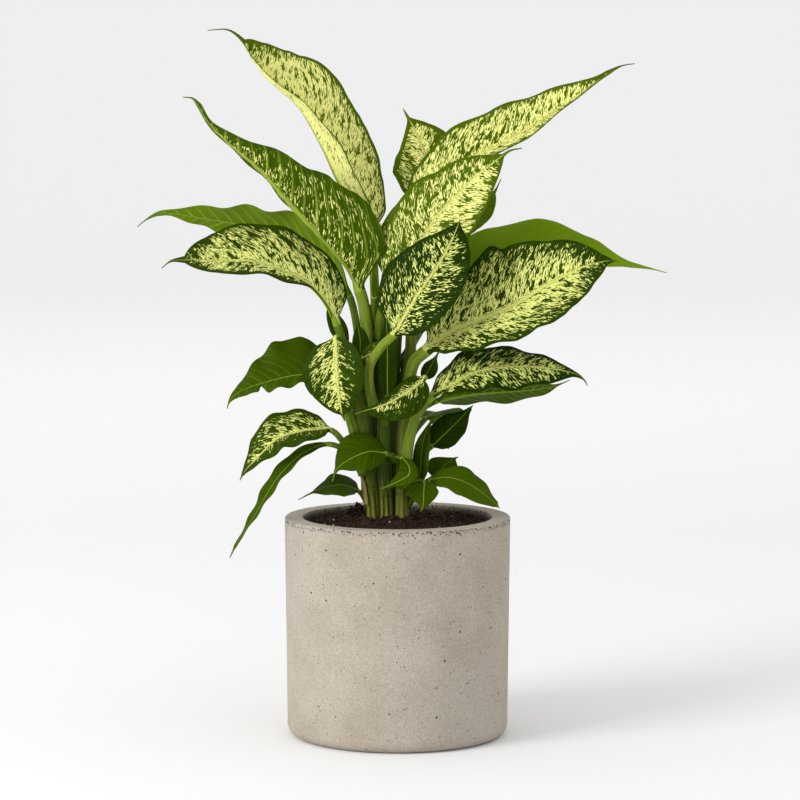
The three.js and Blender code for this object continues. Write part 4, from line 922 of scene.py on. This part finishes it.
        taper=(1.1, 1.3), wave=(1.4, 4), stem=(4, 3.6), size="large", tone=0.36, upper=(0.0, 0.06, 14),
        under=(0.02, 0.1, 12), margin=(1.8, 1.8), ribWidth=1.4, thinning=7, stalkPale=0.4, slot="leaf_pale",
    ),
    "leaf_top_small": dict(
        stalk=[(7, 22, 412), (14, 30, 440)], rib=[(21, 38, 468), (26, 44, 496), (22, 46, 520), (9, 44, 547)],
        drip=[(5, 43, 554)],
        face=((0, -0.95, 0.3), (0.1, -0.97, 0.2)), half=(30, 32), fold=(8, 0), broad=(0.45, 0.5), taper=(1.25, 1.15),
        wave=(1, 2), stem=(3.4, 3), size="middle", tip=1.2, tone=0.42, upper=(-0.04, 0.1, 10), under=(-0.03, 0.1, 12),
        margin=(5, 5), stalkPale=0.4, slot="leaf_pale",
    ),
    "leaf_centre_back": dict(
        stalk=[(7, 23, 384), (14, 36, 415)], rib=[(28, 44, 434), (50, 46, 448), (70, 44, 462), (86, 41, 480)],
        drip=[(92, 39, 492)],
        face=((-0.5, -0.4, 0.77), (-0.5, -0.5, 0.7)), half=(20, 24), fold=(10, 0), broad=(0.5, 0.6), taper=(0.7, 0.6),
        wave=(1, 3), stem=(3.2, 2.8), size="middle", tone=0.75,
    ),
    "leaf_left_sliver": dict(
        stalk=[(-34, 2, 322), (-42, 8, 334)], rib=[(-46, 12, 345), (-53, 16, 362), (-61, 18, 380)],
        drip=[(-66, 18, 394)],
        face=((0.5, -0.8, 0.3), (0.5, -0.8, 0.3)), half=(9, 9), fold=(10, 0), broad=(0.5, 0.5), taper=(0.7, 0.7),
        wave=(0.4, 2), stem=(2.6, 2.2), size="small", tone=0.3,
    ),
    "leaf_left_sheath": dict(
        stalk=[(-31, -5, 320), (-32, -8, 330)], rib=[(-33, -10, 338), (-33, -11, 352), (-35, -12, 366)],
        drip=[(-36, -12, 376)],
        face=((0.4, -0.9, 0.1), (0.4, -0.9, 0.1)), half=(8.5, 8.5), fold=(25, 10), broad=(0.4, 0.4), taper=(0.9, 0.9),
        wave=(0.2, 1), stem=(2.4, 2), size="small", tone=0.12, veins=0.1, pucker=0,
    ),
    "leaf_centre_sheath": dict(
        stalk=[(-11, -13, 276), (-10, -19, 290)],
        rib=[(-9, -20, 302), (-9, -20, 325), (-9, -19, 350), (-10, -17, 372)], drip=[(-11, -16, 384)],
        face=((0.15, -0.98, 0.1), (0.15, -0.98, 0.1)), half=(9, 9), fold=(24, 16), broad=(0.42, 0.42),
        taper=(0.9, 0.9), wave=(0.3, 1), stem=(2.6, 2.2), size="small", tone=0.08, veins=0.1, pucker=0,
    ),
    "leaf_rear_high": dict(
        stalk=[(4, 22, 362), (-4, 40, 398)],
        rib=[(-14, 60, 422), (-24, 84, 440), (-30, 110, 446), (-33, 136, 438), (-33, 158, 420)],
        drip=[(-32, 168, 406)],
        face=((0.1, -0.6, 0.79), (-0.1, 0.3, 0.95)), half=(40, 42), fold=(16, 6), broad=(0.42, 0.42),
        taper=(0.8, 0.8), wave=(2, 4), stem=(4, 3.4), size="large", tone=0.3, upper=(0, 0.12, 14),
        under=(-0.12, 0.1, 12), ribWidth=2.4, stalkPale=0.5, slot="leaf_flecked",
    ),
    "leaf_rear_right": dict(
        stalk=[(1, 21, 326), (21, 38, 358)],
        rib=[(34, 56, 380), (48, 78, 394), (60, 102, 396), (70, 126, 384), (76, 144, 366)], drip=[(78, 151, 352)],
        face=((-0.3, -0.5, 0.81), (0.2, 0.3, 0.93)), half=(36, 34), fold=(14, 4), broad=(0.45, 0.45),
        taper=(0.8, 0.8), wave=(1.8, 4), stem=(3.8, 3.2), size="large", upper=(-0.02, 0.12, 12),
        under=(-0.12, 0.1, 12), ribWidth=2, stalkPale=0.5, slot="leaf_flecked",
    ),
    "leaf_rear_left": dict(
        stalk=[(-12, 10, 290), (-20, 30, 314)],
        rib=[(-28, 46, 326), (-38, 68, 334), (-46, 92, 330), (-51, 114, 314), (-53, 130, 292)],
        drip=[(-53, 136, 278)],
        face=((0.3, -0.5, 0.81), (-0.2, 0.3, 0.93)), half=(30, 32), fold=(14, 4), broad=(0.45, 0.45),
        taper=(0.8, 0.8), wave=(1.6, 3), stem=(3.6, 3), size="middle", upper=(-0.06, 0.14, 10),
        under=(-0.15, 0.1, 12), margin=(4, 4), slot="leaf_flecked",
    ),
    "leaf_rear_low": dict(
        stalk=[(3, 21, 242), (14, 38, 264)], rib=[(24, 52, 275), (34, 72, 280), (42, 94, 273), (46, 112, 255)],
        drip=[(47, 118, 241)],
        face=((-0.3, -0.5, 0.81), (0.2, 0.3, 0.93)), half=(24, 24), fold=(14, 4), broad=(0.45, 0.45),
        taper=(0.8, 0.8), wave=(1.4, 3), stem=(3.2, 2.6), size="middle", tone=0.35,
    ),
}

# thickness, edge, dripHalf, footHalf, keelMargin, swell, ribRound, ribSpread, ribTip and the sizes are in mm,
# stalkEdge and droop in degrees, and the rest are counts, shares and powers. keel: the midrib's depth below
# the blade, and groove: the stalk's channel, as shares of the stalk's radius. droop: added to the fold at the
# margin. flare: of the stalk's foot at the cane. ragged: of the green edge
leafDetail = dict(
    thickness=0.8, marginThinner=0.45, tipThickness=0.55, edge=0.5, dripHalf=0.9, footHalf=1.35, stalkEdge=84,
    stalkBlend=0.1, keel=0.9, keelFade=0.8, keelMargin=0.5, wavePhase=1.9, droop=-6, tipFrom=0.78, tipTaper=1.6,
    innerCurve=2.2, innerFullness=0.6, outerCurve=1.7, stalkRows=18, dripRows=10, ribColumns=3, veinLean=0.6,
    groove=0.4, flare=0.3, flareReach=0.35, swell=0.9, swellSize=(38, 24), ribRound=1.4, ribSpread=6, ribTip=0.25,
    unevenCounts=(7, 23), raggedSize=9, ragged=0.9, marginCream=-0.6, thinnedCream=-0.12, tipCream=-0.2,
    footShade=0.6,
)


def bladeShape(place, begins, broad, taper):
    # share of the widest half-width: a full foot, the widest place, a pointed tip
    detail = leafDetail
    own = np.clip((place - begins) / (1 - begins), 0, 1)
    inner = (1 - (1 - np.clip(own / broad, 0, 1)) ** detail["innerCurve"]) ** detail["innerFullness"]
    outer = (1 - np.clip((own - broad) / (1 - broad), 0, 1) ** detail["outerCurve"]) ** taper
    return np.where(own < broad, inner, outer)


def tipHalfWidth(tip, place):
    # the drawn-out tip
    detail = leafDetail
    growing = tip * smooth((place - detail["tipFrom"]) / (1 - detail["tipFrom"]))
    return np.where(place < 1, growing, tip * np.clip(2 - place, 0, 1) ** detail["tipTaper"])


def noiseGrid(rows, columns, spot):
    # noise at a spot worked out from each pair of a row's and a column's value
    return np.array([[noise.noise(Vector(spot(row, column))) for column in columns] for row in rows])


def leafOutline(index, leaf, place):
    # half-width of the two halves at each place
    detail = leafDetail
    shape = np.stack([bladeShape(np.clip(place, 0, 1), *form)
                      for form in zip(leaf["begins"], leaf["broad"], leaf["taper"])], axis=1)
    for h, tearPlace, depth, width in leaf["tears"]:
        shape[:, h] *= 1 - depth * np.exp(-((place - tearPlace) / width) ** 2)
    # slight unevenness of the outline, none at the tip
    wide = noiseGrid(place, (0, 1), lambda p, h: (p * detail["unevenCounts"][0], h * 5, index))
    narrow = noiseGrid(place, (0, 1), lambda p, h: (p * detail["unevenCounts"][1], h * 5, index + 0.5))
    uneven = 1 + leaf["uneven"] * (wide + 0.4 * narrow)
    pointed = np.hypot(np.array(leaf["half"]) * shape * uneven, tipHalfWidth(leaf["tip"], place)[:, None])
    least = mix(detail["footHalf"], detail["dripHalf"] / 2, np.maximum(place - 1, 0))
    return np.maximum(pointed, least[:, None])


def leafFaces(rows, columns, stalkRows):
    # the two sides, the margins and both ends. kinds: 0 upper side, 1 under side and margin, 2 stalk
    below = rows * columns
    faces, kinds = [], []
    for row in range(rows - 1):
        kind = 2 if row < stalkRows else 0
        for column in range(columns - 1):
            a = row * columns + column
            b, c, d = a + 1, a + columns + 1, a + columns
            faces += [(a, b, c, d), (below + a, below + d, below + c, below + b)]
            kinds += [kind, max(kind, 1)]
        a, d = row * columns, (row + 1) * columns
        faces.append((a, d, below + d, below + a))
        a, d = a + columns - 1, d + columns - 1
        faces.append((a, below + a, below + d, d))
        kinds += [max(kind, 1)] * 2
    last = (rows - 1) * columns
    for column in range(columns - 1):
        faces.append((column, below + column, below + column + 1, column + 1))
        faces.append((last + column, last + column + 1, below + last + column + 1, below + last + column))
        kinds += [2, 0]
    return faces, kinds


def leafPiece(index, name, leaf, detail):
    # place runs from -1 at the cane over 0 and 1 at the blade's foot and tip to 2 at the end of the drip tip
    at, along, total, pointLengths = makeRoute(leaf["stalk"] + leaf["rib"] + leaf["drip"])
    bladeFrom = pointLengths[len(leaf["stalk"])]
    bladeTo = pointLengths[len(leaf["stalk"]) + len(leaf["rib"]) - 1]
    bladeLength = bladeTo - bladeFrom
    even = np.linspace(0, 1, leaf["bladeRows"] + 1)
    bladePlace = (even + (1 - np.cos(np.pi * even)) / 2) / 2
    stalkShare = np.arange(detail["stalkRows"]) / detail["stalkRows"]
    dripShare = np.arange(1, detail["dripRows"] + 1) / detail["dripRows"]
    place = np.concatenate([stalkShare - 1, bladePlace, 1 + dripShare])
    length = np.concatenate([bladeFrom * stalkShare, bladeFrom + bladeLength * bladePlace,
                             bladeTo + (total - bladeTo) * dripShare])
    rows = len(place)
    centre, forward = at(length), along(length)
    turned = smooth(place)[:, None]
    face = mix(np.array(leaf["face"][0], float), np.array(leaf["face"][1], float), turned)
    up = unit(face - np.sum(face * forward, axis=1, keepdims=True) * forward)
    right = np.cross(forward, up)
    inBlade = np.clip(place, 0, 1)
    midBlade = np.sin(np.pi * inBlade)[:, None]  # 0 at both ends of the blade, 1 in the middle
    stem = mix(leaf["stem"][0], leaf["stem"][1], np.clip(place + 1, 0, 1))
    blend = smooth(place / detail["stalkBlend"])[:, None]
    keel = stem * detail["keel"] * (1 - inBlade) ** detail["keelFade"]
    folded = mix(leaf["fold"][0], leaf["fold"][1], turned)

    # columns lie close together over the midrib and at the margin
    half, inner = leaf["columns"], detail["ribColumns"]
    signs = np.sign(np.arange(-half, half + 1))
    step = np.abs(np.arange(-half, half + 1))
    hand = (signs >= 0).astype(int)
    halfWidth = leafOutline(index, leaf, place)[:, hand]
    keelReach = np.minimum(keel * 1.1 + detail["keelMargin"], 0.45 * halfWidth.min(axis=1))[:, None]
    edgeGap = np.minimum(detail["edge"], 0.1 * halfWidth)
    ribShare = np.minimum(step / inner, 1)
    outShare = np.clip((step - inner) / (half - 1 - inner), 0, 1)
    reach = np.where(step <= inner, keelReach * ribShare, mix(keelReach, halfWidth - edgeGap, outShare))
    reach = np.where(step == half, halfWidth, reach)
    share = reach / halfWidth
    out = signs * reach

    # side veins leave the midrib at a slant and bend towards the tip
    sideOf = signs * ribShare
    bent = detail["veinLean"] * reach + leaf["bend"] * reach ** 2 / max(leaf["half"])
    # the veins of the two halves don't meet at the midrib
    across = (place * bladeLength)[:, None] - bent + 0.25 * leaf["spacing"] * sideOf
    veinCount = across / leaf["spacing"]
    fade = smooth(share / 0.18) * smooth((1 - share) / 0.12) * midBlade ** 0.5  # none by the midrib and margin
    pucker = leaf["pucker"] * (np.abs(np.sin(np.pi * veinCount)) ** 0.8 - 0.6) * fade
    swellAlong, swellAcross = detail["swellSize"]
    gentle = np.array([[noise.noise(Vector((p * bladeLength / swellAlong, r / swellAcross, index * 3.7)))
                        for r in line] for p, line in zip(place, out)])
    swell = detail["swell"] * gentle * smooth(share / 0.4) * midBlade

    fold = np.radians(folded + detail["droop"] * share)
    ripple = np.sin(2 * np.pi * leaf["wave"][1] * inBlade[:, None] + hand * detail["wavePhase"])
    wave = leaf["wave"][0] * ripple * share ** 2 * midBlade
    soft = np.minimum(detail["ribRound"], 0.5 * keelReach)
    rounded = np.sqrt(reach ** 2 + soft ** 2) - soft
    sidePlace = out * np.cos(fold)
    rise = rounded * np.sin(fold) + wave + pucker + swell
    thinner = (1 - detail["marginThinner"] * share ** 4) * mix(1, detail["tipThickness"], smooth(place - 1))[:, None]
    thin = detail["thickness"] / 2 * thinner
    slant = out / np.sqrt(reach ** 2 + soft ** 2 + 1e-9)
    lean = slant * np.sin(fold) * thin
    drop = np.cos(fold) * thin
    keelDrop = keel[:, None] * np.sqrt(np.clip(1 - (reach / (keelReach + 1e-9)) ** 2, 0, 1))

    # the stalk: round, with a channel along its upper side, and wider where it clasps the cane
    turn = np.radians(detail["stalkEdge"]) * signs * step / half
    flare = 1 + detail["flare"] * np.clip(1 - (place + 1) / detail["flareReach"], 0, 1)[:, None] ** 2
    stemWide = stem[:, None] * flare
    channel = detail["groove"] * np.clip(-place + 0.15, 0, 1)[:, None] * np.exp(-(step / half / 0.3) ** 2)
    roundSide = stemWide * np.sin(turn)
    roundRise = stemWide * np.cos(turn)

    def surface(sideways, upward):
        return centre[:, None] + right[:, None] * sideways[..., None] + up[:, None] * upward[..., None]

    upper = surface(mix(roundSide, sidePlace - lean, blend), mix(roundRise - stemWide * channel, rise + drop, blend))
    lower = surface(mix(roundSide, sidePlace + lean, blend), mix(-roundRise, rise - drop - keelDrop, blend))
    columns = 2 * half + 1
    points = np.concatenate([upper.reshape(-1, 3), lower.reshape(-1, 3)])
    faces, kinds = leafFaces(rows, columns, detail["stalkRows"])

    # what the leaf's materials read: see livingLeaf and leafStalk
    whole = (rows, columns)
    toMargin = halfWidth - reach
    ragged = noiseGrid(place, (0, 1), lambda p, h: (p * bladeLength / detail["raggedSize"], h * 9, index))
    margin = np.array(leaf["margin"])[hand] * (1 + detail["ragged"] * ragged)[:, hand]
    solid = 1 - smooth((toMargin / margin - 0.4) / 0.6)
    thinned = 1 - smooth(toMargin / leaf["thinning"])
    tip = smooth((place - 0.82) / 0.2)[:, None]  # the last fifth of the blade
    lessCream = detail["marginCream"] * solid + detail["thinnedCream"] * thinned + detail["tipCream"] * tip
    # the pale midrib spreads into the stalk and narrows to the tip
    spread = mix(detail["ribSpread"], 0, smooth(place / 0.07))[:, None]
    ribHalf = np.maximum(mix(leaf["ribWidth"], detail["ribTip"], inBlade ** 0.7)[:, None], spread)
    keelHalf = np.maximum(keelReach * mix(1.0, 0.6, inBlade)[:, None], spread)
    seed = np.broadcast_to(index * 17.3 + 4 * sideOf, whole)  # other flecks on each leaf and half
    around = stemWide * (turn + np.pi / 2)
    inStalk = (place <= 0)[:, None]
    # painted shade on the half of the stalk nearest the cane
    foot = np.broadcast_to((detail["footShade"] * np.clip(1 - (place + 1) / 0.5, 0, 1))[:, None], whole)
    veined = np.where(inStalk, leaf["stalkPale"], leaf["veins"] * (1 - 0.8 * share ** 1.5))
    spaces, maps, tones = [], [], []
    for key, ribbed, turnedBy in (("upper", out / ribHalf, 1), ("under", out / keelHalf, -1)):
        cover, more, far = leaf[key]
        cream = cover + more * np.exp(-reach / far) + np.array(leaf["extra"])[hand] + lessCream
        spaces.append(np.stack([np.where(inStalk, length[:, None], across),
                                np.where(inStalk, around * turnedBy, reach), seed], axis=-1))
        maps.append(np.stack([ribbed, veinCount, cream], axis=-1))
        tones.append(np.stack([np.full(whole, leaf["tone"]), veined, foot], axis=-1))
    made = meshObject(name.replace("leaf_", "blade_"), points, faces, [leafUpper, leafUnder, stalkFinish], kinds)
    addAttribute(made, "veinSpace", np.concatenate(spaces))
    addAttribute(made, "leafMap", np.concatenate(maps))
    addAttribute(made, "leafTone", np.concatenate(tones))
    placeInFrame(made, name, leaf["slot"])
    return made


for leafIndex, (leafName, leafShape) in enumerate(leaves.items()):
    leafPiece(leafIndex, leafName, plainLeaf | leafSizes[leafShape["size"]] | leafShape, leafDetail)
print("leaves made")

# metres and watts. The key is on the left in front, and the wash behind the plant lights only the sweep
studio = dict(
    floorRadius=6.0, wallReach=3.5, wallHeight=7.0, floorWhite="#F5F5F5", floorRoughness=0.9, skyStrength=0.86,
    white="#FFFFFF",
    lights={"key softbox": dict(place=(-3.2, -2.4, 2.1), aim=(0, 0, 0.3), size=1.9, power=104),
            "wall wash": dict(place=(0, 2.2, 3.4), aim=(0, 8, 1.8), size=3.0, power=24)},
)


def paintedFloor(look):
    # matt white paint, without gloss
    made, node = newMaterial("painted sweep")
    shader = node("BsdfPrincipled", {"Base Color": look["floorWhite"], "Roughness": look["floorRoughness"],
                                     "Specular IOR Level": 0.0})
    node("OutputMaterial", {"Surface": shader})
    return made


def sweepPiece(look):
    # a round white sweep: flat floor that curves up into a low wall, open to the sky
    profile = [(0.02, 0.0), (look["floorRadius"] * 0.5, 0.0), (look["floorRadius"], 0.0)]
    steps, sides = 24, 96
    for i in range(1, steps + 1):
        angle = math.radians(90 * i / steps)
        profile.append((look["floorRadius"] + look["wallReach"] * math.sin(angle),
                        look["wallHeight"] * (1 - math.cos(angle)) * 0.5))
    points = [(0, 0, 0)]
    for radius, height in profile:
        points += circle(radius / mm, height / mm, sides)
    faces = capFaces(0, 1, sides) + ringFaces(len(profile), sides, 1, flip=True)
    made = meshObject("white_sweep", points, faces, [paintedFloor(look)])
    return made


def softbox(name, place, aim, size, power):
    light = bpy.data.lights.new(name, "AREA")
    light.size = size
    light.energy = power
    light.color = hexColour(studio["white"])[:3]
    made = bpy.data.objects.new(name, light)
    made.location = place
    made.rotation_euler = (Vector(aim) - Vector(place)).to_track_quat("-Z", "Y").to_euler()
    bpy.context.scene.collection.objects.link(made)


sweepPiece(studio)
world = bpy.data.worlds.new("studio sky")
bpy.context.scene.world = world
world.use_nodes = True
world.node_tree.nodes.clear()
sky = addNode(world.node_tree, "Background", {"Color": studio["white"], "Strength": studio["skyStrength"]})
addNode(world.node_tree, "OutputWorld", {"Surface": sky})
for lightName, lightSet in studio["lights"].items():
    softbox(lightName, **lightSet)
bpy.context.scene.view_settings.view_transform = "Standard"
print("studio made")
